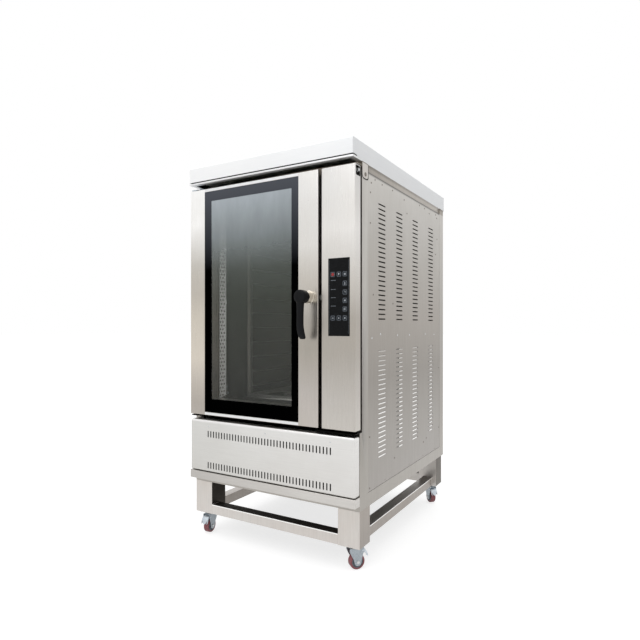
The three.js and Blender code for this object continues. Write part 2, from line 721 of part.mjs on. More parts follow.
/** Fan motor behind the insulation, with a bore for the fan's shaft. */
function fanMotor(z) {
  const { plate, body, bodyLength, cap, capLength } = MOTOR;
  const { half, along, above } = MOTOR_BOX;
  const centre = [RACK_X, z];
  const front = INSULATION_REAR + GAP;
  const flangePlate = block([RACK_X - plate, RACK_X + plate], [front, front + 5], [z - plate, z + plate]);
  const barrel = rod('y', body, [front + 4, front + bodyLength], centre, 16);
  const cover = rod('y', cap, [front + bodyLength - 1, front + capLength], centre, 16);
  const boxX = [RACK_X - half, RACK_X + half];
  const terminals = block(boxX, along.map((y) => front + y), above.map((rise) => z + rise));
  const bore = rod('y', FAN_SHAFT_RADIUS + 1, [front - 1, FAN_SHAFT_END], centre, 8);
  return cut(join(flangePlate, barrel, cover, terminals), bore);
}

/** Tubular heater wound twice round both fans, its ends turned back to the rear wall. */
function heaterCoil() {
  const { radius, tube, perTurn, turns, front, depth } = HEATER;
  const [low, high] = FAN_CENTRES.map((fan) => fan.z);
  const points = [];
  for (let n = 0; n <= perTurn * turns; n += 1) {
    const angle = (2 * Math.PI * n) / perTurn;
    const centreZ = Math.sin(angle) > 0.01 ? high : low;
    const y = front + (depth * n) / (perTurn * turns);
    const [out, rise] = [radius * Math.cos(angle), radius * Math.sin(angle)];
    points.push(new THREE.Vector3(RACK_X + out, y, centreZ + rise));
  }
  const [first, last] = [points[0], points[points.length - 1]];
  const rear = CHAMBER_Y[1] - GAP;
  points.unshift(
    new THREE.Vector3(first.x + 22, rear, first.z),
    new THREE.Vector3(first.x + 22, first.y + 20, first.z),
  );
  points.push(
    new THREE.Vector3(last.x - 4, last.y + 16, last.z + 22),
    new THREE.Vector3(last.x - 4, rear, last.z + 22),
  );
  const path = new THREE.CatmullRomCurve3(points, false, 'centripetal');
  const section = new THREE.Shape();
  section.absarc(0, 0, tube, 0, 2 * Math.PI, false);
  const options = { steps: 60, extrudePath: path, curveSegments: 3, bevelEnabled: false };
  return solid(new THREE.ExtrudeGeometry(section, options));
}

/** Adds the baffles, the fans with their motors and the heater. */
function addAirCirculation() {
  add(oven, 'air_baffle_left', airBaffle(-1), FINISH.baffle);
  add(oven, 'air_baffle_right', airBaffle(1), FINISH.baffle);
  add(oven, 'fan_baffle', fanBaffle(), FINISH.baffle);
  for (const { name, z } of FAN_CENTRES) {
    add(oven, `fan_wheel_${name}`, fanWheel(z), FINISH.zinc);
    add(oven, `fan_motor_${name}`, fanMotor(z), FINISH.motor);
  }
  add(oven, 'heater_coil', heaterCoil(), FINISH.heater);
}

// ---------------------------------------------------------------- rotating rack

/** A square ring of bars as wide and deep as the rack. */
function rackRing(z) {
  const [halfX, halfY] = RACK_HALF;
  const x = [RACK_X - halfX, RACK_X + halfX];
  const y = [RACK_Y - halfY, RACK_Y + halfY];
  return cut(block(x, y, z), block(inset(x, RACK_BAR), inset(y, RACK_BAR), inset(z, -1)));
}

/** One tray level: a flat runner on each side, between the uprights. */
function runners(z) {
  const [halfX, halfY] = RACK_HALF;
  const y = inset([RACK_Y - halfY, RACK_Y + halfY], RACK_BAR - 1);
  return [-1, 1].map((side) => {
    const x = onSide(side, [RUNNER_REACH, halfX - 3]).map((value) => value + RACK_X);
    return block(x, y, [z, z + 3]);
  });
}

/** Rack: four uprights, tray runners, base and top rings, and the pin in the ceiling bearing. */
function rackFrame() {
  const [halfX, halfY] = RACK_HALF;
  const uprights = [-1, 1].flatMap((side) => [-1, 1].map((end) => {
    const x = onSide(side, [halfX - RACK_BAR, halfX]).map((value) => value + RACK_X);
    const y = onSide(end, [halfY - RACK_BAR, halfY]).map((value) => value + RACK_Y);
    return block(x, y, RACK_Z);
  }));
  const levels = [];
  for (let level = 0; level < TRAY_LEVELS; level += 1) {
    levels.push(...runners(FIRST_TRAY + level * TRAY_PITCH));
  }
  const [bottom, top] = RACK_Z;
  const beam = [RACK_X - halfX + 1, RACK_X + halfX - 1];
  const floorBeam = block(beam, [RACK_Y - 30, RACK_Y + 30], [bottom, bottom + 4]);
  const topBeam = block(beam, [RACK_Y - 20, RACK_Y + 20], [top - 6, top]);
  const pin = rod('z', CEILING_PIN_RADIUS, [top - 1, CHAMBER_Z[1] - 4], [RACK_X, RACK_Y], 16);
  const rings = [rackRing([bottom, bottom + RACK_BAR]), rackRing([top - RACK_BAR, top])];
  return join(...rings, ...uprights, ...levels, floorBeam, topBeam, pin);
}

/** Drive plate under the rack, with its hub and the shaft down to the gearbox. */
function rackTurntable() {
  const centre = [RACK_X, RACK_Y];
  const top = RACK_Z[0] - GAP;
  const disc = rod('z', 150, [top - 6, top], centre, 24);
  const hub = rod('z', 34, [top - 22, top - 5], centre);
  return join(disc, hub, rod('z', DRIVE_SHAFT_RADIUS, [GEARBOX[0] + 30, top - 21], centre));
}

/** Gearmotor on the chassis cross member, with a bore for the drive shaft. */
function rackGearmotor() {
  const [bottom, top] = GEARBOX;
  const box = block([RACK_X - 62, RACK_X + 62], [RACK_Y - 62, RACK_Y + 62], GEARBOX);
  const footZ = [BASE_TOP + GAP, BASE_TOP + 8];
  const foot = block([RACK_X - 80, RACK_X + 80], [RACK_Y - 62, RACK_Y + 62], footZ);
  const pedestalZ = [BASE_TOP + 7, bottom + 1];
  const pedestal = block([RACK_X - 50, RACK_X + 50], [RACK_Y - 50, RACK_Y + 50], pedestalZ);
  const motor = rod('x', 48, [RACK_X + 61, RACK_X + 250], [RACK_Y, (bottom + top) / 2]);
  const bore = rod('z', DRIVE_SHAFT_RADIUS + 1, [bottom + 20, top + 1], [RACK_X, RACK_Y]);
  return cut(join(box, foot, pedestal, motor), bore);
}

/** Plate in the right-hand compartment with contactors, terminals, a transformer and a circuit board. */
function electricsPlate() {
  const { face, sheetY, sheetZ } = ELECTRICS;
  const sheetX = [face - FRAME_SHEET, face];
  const device = (depth, y, z) => block([face - 1, face + depth], y, z);
  const sheet = block(sheetX, sheetY, sheetZ);
  const bracket = block(sheetX, [RACK_Y - 60, RACK_Y + 60], [BASE_TOP + GAP, sheetZ[0] + 1]);
  const contactors = [240, 300, 360].map((y) => device(70, [y, y + 45], [1300, 1380]));
  const terminals = device(40, [220, 620], [860, 900]);
  const transformer = device(76, [640, 740], [1020, 1110]);
  const board = device(24, [560, 820], [1240, 1420]);
  return join(sheet, bracket, ...contactors, terminals, transformer, board);
}

/** Adds the rack, its drive and the electrics. */
function addRackAndDrive() {
  add(oven, 'rack_frame', rackFrame(), FINISH.liner);
  add(oven, 'rack_turntable', rackTurntable(), FINISH.liner);
  add(oven, 'rack_gearmotor', rackGearmotor(), FINISH.motor);
  add(oven, 'electrics_plate', electricsPlate(), FINISH.zinc);
}

// ---------------------------------------------------------------- door

/** Folded door shell: skins, edges, glass rebate, window sides and the holes it needs. */
function doorFrame() {
  const glassX = inset(GLASS_X, -GAP);
  const glassZ = inset(GLASS_Z, -GAP);
  const back = [DOOR_BACK - SHEET, DOOR_BACK];
  const shell = [
    ring(DOOR_X, DOOR, glassX, glassZ, [FACE, FACE + SHEET]),
    ring(inset(glassX, -SHEET), inset(glassZ, -SHEET), glassX, glassZ, [FACE, FACE + 8]),
    ring(inset(glassX, -SHEET), inset(glassZ, -SHEET), WINDOW_X, WINDOW_Z, [FACE + 6, FACE + 8]),
    ring(DOOR_X, DOOR, inset(DOOR_X, SHEET), inset(DOOR, SHEET), [FACE, DOOR_BACK]),
    ring(DOOR_X, DOOR, WINDOW_X, WINDOW_Z, back),
  ];
  const jambY = [FACE + 6, DOOR_BACK - SHEET - INNER_PANE - 2 * GAP];
  const jambs = ring(inset(WINDOW_X, -SHEET), inset(WINDOW_Z, -SHEET), WINDOW_X, WINDOW_Z, jambY);
  const pinHoles = rod('z', DOOR_HINGE.pin + 0.5, inset(DOOR, -1), [DOOR_HINGE.x, DOOR_HINGE.y], 16);
  const spindleHole = rod('y', HANDLE.spindle + 1, [FACE - 1, FACE + 5], [HANDLE.x, HANDLE.z], 16);
  const latchSlot = block([DOOR_X[1] - 5, DOOR_X[1] + 1], [-13, 0], [HANDLE.z - 52, HANDLE.z + 14]);
  return cut(join(...shell, jambs), pinHoles, spindleHole, latchSlot);
}

/** Outer pane, printed black round its edge, that fills the door between its stiles. */
function outerGlass() {
  return block(GLASS_X, [FACE + 0.7, FACE + 5.7], GLASS_Z);
}

/** Inner pane, held between the window's sides and the door's back skin. */
function innerGlass() {
  const back = DOOR_BACK - SHEET - GAP;
  return block(inset(WINDOW_X, -20), [back - INNER_PANE, back], inset(WINDOW_Z, -20));
}

/** Silicone seal on the door's back, round the chamber's mouth. */
function doorGasket() {
  const outerX = inset(MOUTH_X, -20);
  const outerZ = inset(MOUTH_Z, -20);
  return ring(outerX, outerZ, inset(MOUTH_X, -6), inset(MOUTH_Z, -6), [DOOR_BACK + GAP, BODY_FRONT - GAP]);
}

/** Hinge bracket above the door, screwed to the front post, with its pin. */
function upperDoorHinge() {
  const { x, y, pin } = DOOR_HINGE;
  const plateX = [x - 16, x + 26];
  const bottom = DOOR[1] + 3.5;
  return join(
    block(plateX, [BODY_FRONT - GAP - 4, BODY_FRONT - GAP], [bottom, BODY_TOP - 1]),
    block(plateX, [y - 16, BODY_FRONT - GAP], [bottom, bottom + 5]),
    rod('z', pin, [DOOR[1] - 14, bottom + 1], [x, y], 16),
  );
}

/** Hinge bracket under the door, screwed to the shelf, with its pin. */
function lowerDoorHinge() {
  const { x, y, pin } = DOOR_HINGE;
  const plate = block([x - 16, x + 26], [y - 16, BODY_FRONT - 1], [SHELF_TOP + GAP, SHELF_TOP + 6]);
  return join(plate, rod('z', pin, [SHELF_TOP + 5, DOOR[0] + 14], [x, y], 16));
}

/** Polished barrel between the door and the lever. */
function handleBarrel() {
  const bore = HANDLE.spindle + 1;
  const length = FACE - GAP - BARREL_FRONT;
  const profile = [[bore, 0], [32, 0], [32, 4], [28, 6], [28, length], [bore, length]];
  const barrel = turned(profile, 24).rotate([90, 0, 0]);
  return barrel.translate([HANDLE.x, FACE - GAP, HANDLE.z]);
}

/** Side view of the lever, hanging straight down and curving in at its lower end. */
function leverOutline() {
  const { z } = HANDLE;
  const [front, back] = [HANDLE_FRONT + 2, BARREL_FRONT - GAP];
  const outline = new THREE.Shape();
  outline.moveTo(front, z);
  outline.lineTo(front, z - 138);
  outline.bezierCurveTo(front, z - 170, front + 16, z - 192, front + 34, z - 198);
  outline.quadraticCurveTo(front + 42, z - 194, front + 38, z - 184);
  outline.bezierCurveTo(front + 26, z - 172, front + 20, z - 160, front + 19, z - 138);
  outline.lineTo(front + 22, z - 50);
  outline.lineTo(back, z - 22);
  outline.lineTo(back, z);
  return outline;
}

/** Black lever with its round boss and the spindle through the door. */
function handleLever() {
  const { x, z, spindle } = HANDLE;
  const grip = barAcross(leverOutline(), [x - 18.5, x + 18.5]);
  const boss = rod('y', 30, [HANDLE_FRONT, BARREL_FRONT - GAP], [x, z], 24);
  return join(grip, boss, rod('y', spindle, [BARREL_FRONT - 2, -3.5], [x, z], 12));
}

/** Latch tongue on the spindle, inside the door; its tip passes through the door's edge. */
function latchCam() {
  const { x, z, spindle } = HANDLE;
  const tongue = block([x - 14, DOOR_X[1] + 9], [-10, -5], [z - 11, z + 11]);
  const collar = rod('y', 14, [-10, -5], [x, z]);
  return cut(join(tongue, collar), rod('y', spindle + GAP, [-11, -4], [x, z], 12));
}

/** Adds the door, its glass, seal, hinges and handle. */
function addDoor() {
  add(oven, 'door_frame', doorFrame(), FINISH.brushed);
  add(oven, 'door_glass_outer', outerGlass(), FINISH.glass);
  add(oven, 'door_glass_inner', innerGlass(), FINISH.glass);
  add(oven, 'door_gasket', doorGasket(), FINISH.seal);
  add(oven, 'door_hinge_upper', upperDoorHinge(), FINISH.zinc);
  add(oven, 'door_hinge_lower', lowerDoorHinge(), FINISH.zinc);
  add(oven, 'handle_barrel', handleBarrel(), FINISH.bright);
  add(oven, 'handle_lever', handleLever(), FINISH.black);
  add(oven, 'latch_cam', latchCam(), FINISH.zinc);
}

// ---------------------------------------------------------------- control box

/** Shallow box, open at the back, that swings on its right-hand side. */
function controlBox() {
  const tray = block(CONTROL_X, [FACE, CONTROL_BACK], DOOR);
  const hollow = block(inset(CONTROL_X, SHEET), [FACE + SHEET, CONTROL_BACK - SHEET], inset(DOOR, SHEET));
  const rear = block(inset(CONTROL_X, 14), [0, CONTROL_BACK + 1], inset(DOOR, 14));
  const overlayHole = block(inset(OVERLAY_X, -GAP), [FACE - 1, FACE + 5], inset(OVERLAY_Z, -GAP));
  const pins = rod('z', CONTROL_HINGE.pin + 0.5, inset(DOOR, -1), [CONTROL_HINGE.x, CONTROL_HINGE.y], 12);
  return cut(tray, hollow, rear, overlayHole, pins);
}

/** Where each key sits. */
function keyPlace({ column, row }) {
  return { x: KEY_COLUMNS[column], z: KEY_ROWS[row] };
}

/** Black keypad panel with a square hole for each key. */
function controlOverlay() {
  const half = KEY_SIZE / 2 + GAP;
  const holes = KEYS.map((key) => {
    const { x, z } = keyPlace(key);
    return block([x - half, x + half], [FACE - 5, FACE + 5], [z - half, z + half]);
  });
  return cut(block(OVERLAY_X, [FACE - 1, FACE + 3], OVERLAY_Z), ...holes);
}

/** A square key with cut corners. */
function keyCap(key) {
  const { x, z } = keyPlace(key);
  const half = KEY_SIZE / 2;
  const corner = half - 3;
  const outline = new THREE.Shape();
  const quarter = [[half, -corner], [half, corner], [corner, half], [-corner, half]];
  const points = [...quarter, ...quarter.map(([px, pz]) => [-px, -pz])];
  outline.setFromPoints(points.map(([px, pz]) => new THREE.Vector2(x + px, z + pz)));
  return plateFacingFront(outline, KEY_DEPTH);
}

/** Adds the control box, its keypad panel and the ten keys. */
function addControls() {
  add(oven, 'control_box', controlBox(), FINISH.brushed);
  add(oven, 'control_overlay', controlOverlay(), FINISH.overlay);
  for (const key of KEYS) {
    add(oven, key.name, keyCap(key), key.colour ? FINISH.redKey : FINISH.key);
  }
}

// ---------------------------------------------------------------- the object

addCasters();
addCasing();
addAirCirculation();
addRackAndDrive();
addDoor();
addControls();
oven.position.y = -(HANDLE_FRONT + HOOD_REAR) / 2;

export default oven;
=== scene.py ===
"""The looks of a twelve-tray rotating rack oven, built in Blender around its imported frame.

Lengths are in millimetres, and places are in the oven's own datum: x from its middle plane, y from the
front faces of the stand's legs, z from the floor. Form and span turn them into the frame's metres and back.
"""

import json
import logging
import math
from dataclasses import dataclass
from enum import Enum
from typing import Sequence

import bmesh
import bpy
from bmesh.types import BMesh
from bpy.types import NodeSocket, NodeTree
from mathutils import Matrix, Vector
from mathutils.geometry import delaunay_2d_cdt


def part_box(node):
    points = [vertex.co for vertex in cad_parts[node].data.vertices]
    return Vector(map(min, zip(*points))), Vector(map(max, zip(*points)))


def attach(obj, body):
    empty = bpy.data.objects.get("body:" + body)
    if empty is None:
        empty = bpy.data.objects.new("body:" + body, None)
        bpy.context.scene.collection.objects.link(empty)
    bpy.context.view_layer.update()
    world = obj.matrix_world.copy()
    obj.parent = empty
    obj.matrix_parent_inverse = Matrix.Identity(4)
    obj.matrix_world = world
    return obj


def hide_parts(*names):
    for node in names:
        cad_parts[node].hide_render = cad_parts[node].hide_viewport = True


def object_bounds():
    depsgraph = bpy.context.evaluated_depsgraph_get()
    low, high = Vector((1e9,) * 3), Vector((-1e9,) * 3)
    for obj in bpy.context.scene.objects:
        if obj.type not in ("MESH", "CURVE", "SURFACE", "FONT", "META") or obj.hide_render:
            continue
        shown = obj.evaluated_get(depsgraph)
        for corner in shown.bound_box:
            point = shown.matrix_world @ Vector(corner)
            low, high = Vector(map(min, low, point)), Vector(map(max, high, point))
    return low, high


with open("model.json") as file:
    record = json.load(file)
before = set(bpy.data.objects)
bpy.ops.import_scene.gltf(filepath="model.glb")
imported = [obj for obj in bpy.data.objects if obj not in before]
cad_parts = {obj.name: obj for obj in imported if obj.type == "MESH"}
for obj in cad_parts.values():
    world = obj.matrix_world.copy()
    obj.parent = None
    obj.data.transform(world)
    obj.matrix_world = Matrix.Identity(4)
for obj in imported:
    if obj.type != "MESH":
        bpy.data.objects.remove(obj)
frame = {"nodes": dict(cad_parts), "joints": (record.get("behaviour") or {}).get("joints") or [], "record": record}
CAD_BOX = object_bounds()

LOG = logging.getLogger("oven")
MM = 0.001
TO_FRAME = Matrix.Translation((0.0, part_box("stand_frame")[0].y, 0.0)) @ Matrix.Scale(MM, 4)
OVEN_HEIGHT = CAD_BOX[1].z / MM

Point = tuple[float, float]
Outline = Sequence[Point]
Stops = tuple[tuple[float, str], ...]
Inputs = dict[str | int, object]


# ------------------------------------------------------------------ places and outlines


class Side(Enum):
    """A face of the oven: the two axes that its drawings are in, the axis it looks along, and which way."""

    FRONT = (0, 2, 1, -1)
    REAR = (0, 2, 1, 1)
    RIGHT = (1, 2, 0, 1)
    LEFT = (1, 2, 0, -1)
    TOP = (0, 1, 2, 1)
    BOTTOM = (0, 1, 2, -1)

    def point(self, first: float, second: float, depth: float) -> Vector:
        """Puts a drawn point at a depth along the axis that this side looks along."""
        place = Vector((0.0, 0.0, 0.0))
        place[self.value[0]] = first
        place[self.value[1]] = second
        place[self.value[2]] = depth
        return place

    def normal(self) -> Vector:
        """The direction that this side looks in."""
        direction = Vector((0.0, 0.0, 0.0))
        direction[self.value[2]] = self.value[3]
        return direction

    def matrix(self, x: float, y: float, z: float) -> Matrix:
        """Stands a body that was made along +Z on this side, at a place."""
        turn = Vector((0, 0, 1)).rotation_difference(self.normal()).to_matrix().to_4x4()
        return Matrix.Translation((x, y, z)) @ turn


def span(node: str) -> tuple[Vector, Vector]:
    """Lowest and highest corner of a CAD node in the oven's datum, in millimetres."""
    low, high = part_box(node)
    back = TO_FRAME.inverted()
    return back @ low, back @ high


def pivot(joint_name: str) -> Vector:
    """The place of a joint's axis in the oven's datum, in millimetres."""
    joint = next(joint for joint in frame["joints"] if joint["name"] == joint_name)
    return TO_FRAME.inverted() @ Vector(joint["pos_m"])


def arc(centre: Point, radius: float, start: float, end: float, steps: int) -> list[Point]:
    """Points along an arc, with its angles in degrees."""
    angles = [math.radians(start + (end - start) * n / steps) for n in range(steps + 1)]
    return [(centre[0] + radius * math.cos(a), centre[1] + radius * math.sin(a)) for a in angles]


def rectangle(low: Point, high: Point, radius: float = 0.0, steps: int = 4) -> list[Point]:
    """A rectangle between two corners.

    Args:
        low: Its lower left corner.
        high: Its upper right corner.
        radius: Radius of its corners.
        steps: Edges round a corner.

    Returns:
        Its points, anticlockwise.
    """
    if radius <= 0.0:
        return [low, (high[0], low[1]), high, (low[0], high[1])]
    centres = [
        (high[0] - radius, high[1] - radius, 0), (low[0] + radius, high[1] - radius, 90),
        (low[0] + radius, low[1] + radius, 180), (high[0] - radius, low[1] + radius, 270),
    ]
    return [point for x, y, start in centres for point in arc((x, y), radius, start, start + 90, steps)]


def framed(low: Vector, high: Vector, inset: float, radius: float = 0.0, steps: int = 4) -> list[Point]:
    """A rectangle on the front of a box, set in from its edges, or out where the inset is below zero."""
    return rectangle((low.x + inset, low.z + inset), (high.x - inset, high.z - inset), radius, steps)


def disc(centre: Point, radius: float, sides: int) -> list[Point]:
    """A regular outline round a centre."""
    return arc(centre, radius, 0, 360, sides)[:-1]


# ------------------------------------------------------------------ bodies


def block(low: Sequence[float], high: Sequence[float], rounding: float = 0.8, segments: int = 2) -> BMesh:
    """A box between two corners, with all of its edges rounded.

    Args:
        low: Lowest corner.
        high: Highest corner.
        rounding: Radius of the edges.
        segments: Faces across a rounded edge.

    Returns:
        The body.
    """
    body = bmesh.new()
    bmesh.ops.create_cube(body, size=1.0)
    size = Vector(high) - Vector(low)
    middle = (Vector(high) + Vector(low)) / 2
    place = Matrix.Translation(middle) @ Matrix.Diagonal((*size, 1))
    bmesh.ops.transform(body, verts=body.verts, matrix=place)
    if rounding > 0:
        edges = list(body.edges)
        bmesh.ops.bevel(body, geom=edges, offset=rounding, segments=segments, profile=0.5, affect="EDGES")
    return body


def turned(profile: Outline, sides: int = 40, closed: bool = False) -> BMesh:
    """A body of revolution about the Z axis.

    Args:
        profile: Points of radius and height. A point with no radius is on the axis.
        sides: Faces round the axis.
        closed: Whether the last point joins the first.

    Returns:
        The body.
    """
    body = bmesh.new()
    rings = []
    for radius, height in profile:
        if radius < 1e-6:
            rings.append([body.verts.new((0.0, 0.0, height))])
        else:
            rings.append([body.verts.new((*point, height)) for point in disc((0, 0), radius, sides)])
    pairs = list(zip(rings, rings[1:]))
    if closed:
        pairs.append((rings[-1], rings[0]))
    for lower, upper in pairs:
        for n in range(sides):
            corners = [lower[n % len(lower)], lower[(n + 1) % len(lower)],
                       upper[(n + 1) % len(upper)], upper[n % len(upper)]]
            different = list(dict.fromkeys(corners))
            if len(different) > 2:
                body.faces.new(different)
    return body


def loft(sections: Sequence[Sequence[Vector]], closed: bool = False) -> BMesh:
    """A skin over sections that have the same number of points.

    Args:
        sections: The sections in order.
        closed: Whether the last section joins the first. Otherwise both ends are capped.

    Returns:
        The body.
    """
    body = bmesh.new()
    rings = [[body.verts.new(point) for point in section] for section in sections]
    pairs = list(zip(rings, rings[1:]))
    if closed:
        pairs.append((rings[-1], rings[0]))
    else:
        body.faces.new(rings[0])
        body.faces.new(rings[-1])
    for lower, upper in pairs:
        for n in range(len(lower)):
            after = (n + 1) % len(lower)
            body.faces.new((lower[n], lower[after], upper[after], upper[n]))
    return body


def closed_tube(path: Sequence[Vector], radius: float, sides: int) -> BMesh:
    """A round cord along a path that closes on itself.

    Args:
        path: Points along its middle.
        radius: Its radius.
        sides: Faces round it.

    Returns:
        The body.
    """
    sections = []
    up = Vector((0.0, 0.0, 1.0))
    for n, point in enumerate(path):
        along = (path[(n + 1) % len(path)] - path[n - 1]).normalized()
        if abs(along.dot(up)) > 0.95:
            up = Vector((1.0, 0.0, 0.0))
        across = along.cross(up).normalized()
        up = across.cross(along).normalized()
        sections.append([point + across * a + up * b for a, b in disc((0, 0), radius, sides)])
    return loft(sections, True)


def flat_faces(outline: Outline,
               holes: Sequence[Outline]) -> tuple[list[Point], list[list[int]], list[list[int]]]:
    """Triangles that fill an outline round its holes.

    A triangle that lies in a hole is one whose three corners are all on that hole's edge.

    Args:
        outline: The outer edge.
        holes: The edges of the holes, none of which bends inwards.

    Returns:
        The points, the triangles, and each edge loop as numbers of points.
    """
    rings, points = [], []
    for ring in [outline, *holes]:
        rings.append(list(range(len(points), len(points) + len(ring))))
        points.extend(ring)
    edges = [(ring[n], ring[(n + 1) % len(ring)]) for ring in rings for n in range(len(ring))]
    found = delaunay_2d_cdt([Vector(point) for point in points], edges, [], 1, 1e-4)
    loop_of = [number for number, ring in enumerate(rings) for _ in ring]
    triangles = [list(face) for face in found[2]
                 if not (loop_of[face[0]] > 0 and len({loop_of[corner] for corner in face}) == 1)]
    return [tuple(point) for point in found[0]], triangles, rings


def prism(outline: Outline, side: Side, depths: Point, holes: Sequence[Outline] = (),
          rounding: float = 0.0) -> BMesh:
    """A flat body cut from plate.

    Args:
        outline: Its outer edge.
        side: The side that it is drawn on.
        depths: Where its two faces lie.
        holes: Edges of its holes.
        rounding: Radius of its rims.

    Returns:
        The body.
    """
    points, triangles, rings = flat_faces(outline, holes)
    body = bmesh.new()
    sheets = [[body.verts.new(side.point(*point, depth)) for point in points] for depth in depths]
    for sheet in sheets:
        for triangle in triangles:
            body.faces.new([sheet[n] for n in triangle])
    rims = []
    for ring in rings:
        for n, first in enumerate(ring):
            second = ring[(n + 1) % len(ring)]
            body.faces.new((sheets[0][first], sheets[0][second], sheets[1][second], sheets[1][first]))
            rims += [body.edges.get((sheet[first], sheet[second])) for sheet in sheets]
    bmesh.ops.recalc_face_normals(body, faces=body.faces)
    if rounding > 0:
        bmesh.ops.bevel(body, geom=rims, offset=rounding, segments=2, profile=0.5, affect="EDGES")
    return body


def fold(low: Vector, high: Vector, radius: float, open_sides: Sequence[Side] = (),
         cuts: dict[Side, Sequence[Outline]] | None = None, thickness: float = 1.5,
         segments: int = 4) -> BMesh:
    """A box folded from sheet: rounded edges, open where it is said, and holes cut in its flats.

    Args:
        low: Lowest outer corner.
        high: Highest outer corner.
        radius: Outer radius of the folds.
        open_sides: Sides that have no sheet.
        cuts: Outlines of the holes in each side's flat.
        thickness: Thickness of the sheet, inwards.
        segments: Faces across a fold.

    Returns:
        The body.
    """
    body = block(low, high, 0)
    body.normal_update()
    shut = [e for e in body.edges
            if not any(face.normal.dot(side.normal()) > 0.99 for face in e.link_faces for side in open_sides)]
    bmesh.ops.bevel(body, geom=shut, offset=radius, segments=segments, profile=0.5, affect="EDGES")
    body.normal_update()
    flats = {}
    for side in Side:
        facing = [face for face in body.faces if face.normal.dot(side.normal()) > 0.999]
        flats[side] = max(facing, key=lambda face: face.calc_area())
    gone = [flats[side] for side in open_sides]
    for side, holes in (cuts or {}).items():
        flat = flats[side]
        first, second, depth_axis, _ = side.value
        outline = [(vert.co[first], vert.co[second]) for vert in flat.verts]
        depth = flat.verts[0].co[depth_axis]
        points, triangles, _ = flat_faces(outline, holes)
        verts = [body.verts.new(side.point(*point, depth)) for point in points]
        for triangle in triangles:
            face = body.faces.new([verts[n] for n in triangle])
            face.normal_update()
            if face.normal.dot(side.normal()) < 0:
                face.normal_flip()
        gone.append(flat)
    bmesh.ops.delete(body, geom=gone, context="FACES_ONLY")
    bmesh.ops.remove_doubles(body, verts=body.verts, dist=0.01)
    bmesh.ops.solidify(body, geom=list(body.faces), thickness=thickness)
    return body


@dataclass(frozen=True)
class Patch:
    """Faces of a piece that have another finish: those in a box, or those in it that look along one side."""

    finish: "Finish"
    low: tuple[float, float, float]
    high: tuple[float, float, float]
    side: Side | None = None

    def holds(self, centre: Vector, normal: Vector) -> bool:
        """Whether a face with this centre and normal is one of them."""
        inside = all(a <= value <= b for a, value, b in zip(self.low, centre, self.high))
        return inside and (self.side is None or normal.dot(self.side.normal()) > 0.9)


class Form:
    """A piece while it is made: bodies are put together, then it becomes one object on a CAD body."""

    def __init__(self) -> None:
        """Starts with nothing in it."""
        self.mesh = bmesh.new()

    def put(self, body: BMesh, *places: Matrix) -> "Form":
        """Adds a body, once at each place, or once where it was made.

        Args:
            body: The body, which is used up.
            places: Where its copies go.

        Returns:
            This piece.
        """
        bmesh.ops.recalc_face_normals(body, faces=body.faces)
        for place in places or (Matrix(),):
            data = bpy.data.meshes.new("body")
            body.to_mesh(data)
            data.transform(place)
            if place.determinant() < 0:
                data.flip_normals()
            self.mesh.from_mesh(data)
            bpy.data.meshes.remove(data)
        body.free()
        return self

    def put_node(self, node: str, rounding: float) -> "Form":
        """Adds a CAD node's shape, with its triangles joined into flats and its sharp edges rounded.

        Args:
            node: The CAD node.
            rounding: Radius of the edges.

        Returns:
            This piece.
        """
        sharp = math.radians(40)
        body = bmesh.new()
        body.from_mesh(frame["nodes"][node].data)
        bmesh.ops.transform(body, verts=body.verts, matrix=TO_FRAME.inverted())
        bmesh.ops.remove_doubles(body, verts=body.verts, dist=0.01)
        bmesh.ops.dissolve_limit(body, angle_limit=math.radians(1), verts=body.verts, edges=body.edges,
                                 use_dissolve_boundaries=False)
        if rounding > 0:
            edges = [edge for edge in body.edges if edge.is_manifold and edge.calc_face_angle(0.0) > sharp]
            bmesh.ops.bevel(body, geom=edges, offset=rounding, segments=2, profile=0.5, affect="EDGES",
                            clamp_overlap=True)
        bmesh.ops.triangulate(body, faces=[face for face in body.faces if len(face.verts) > 4])
        return self.put(body)

    def make(self, name: str, finish: "Finish", body: str, slot: str, replaces: Sequence[str] = (),
             patches: Sequence[Patch] = ()) -> None:
        """Turns the piece into an object.

        Args:
            name: The object's name.
            finish: Its finish.
            body: The CAD body that it rides on.
            slot: The record's material slot. It is not used.
            replaces: The CAD nodes that it stands for.
            patches: Places whose faces have another finish.
        """
        data = bpy.data.meshes.new(name)
        self.mesh.to_mesh(data)
        self.mesh.free()
        for number, patch in enumerate(patches, 1):
            for face in data.polygons:
                if patch.holds(face.center, face.normal):
                    face.material_index = number
        data.transform(TO_FRAME)
        data.shade_smooth()
        data.set_sharp_from_angle(angle=math.radians(38))
        for worn in (finish, *[patch.finish for patch in patches]):
            data.materials.append(worn.material())
        piece = bpy.data.objects.new(name, data)
        bpy.context.scene.collection.objects.link(piece)
        even = piece.modifiers.new("even_flats", "WEIGHTED_NORMAL")
        even.keep_sharp = True
        even.weight = 100
        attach(piece, body)
        if replaces:
            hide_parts(*replaces)
        LOG.info("%s: %d faces", name, len(data.polygons))


# ------------------------------------------------------------------ finishes


def linear(colour: str) -> tuple[float, float, float, float]:
    """An sRGB hex colour as linear red, green, blue and alpha."""
    parts = [int(colour[n:n + 2], 16) / 255 for n in (1, 3, 5)]
    return (*[p / 12.92 if p <= 0.04045 else ((p + 0.055) / 1.055) ** 2.4 for p in parts], 1.0)


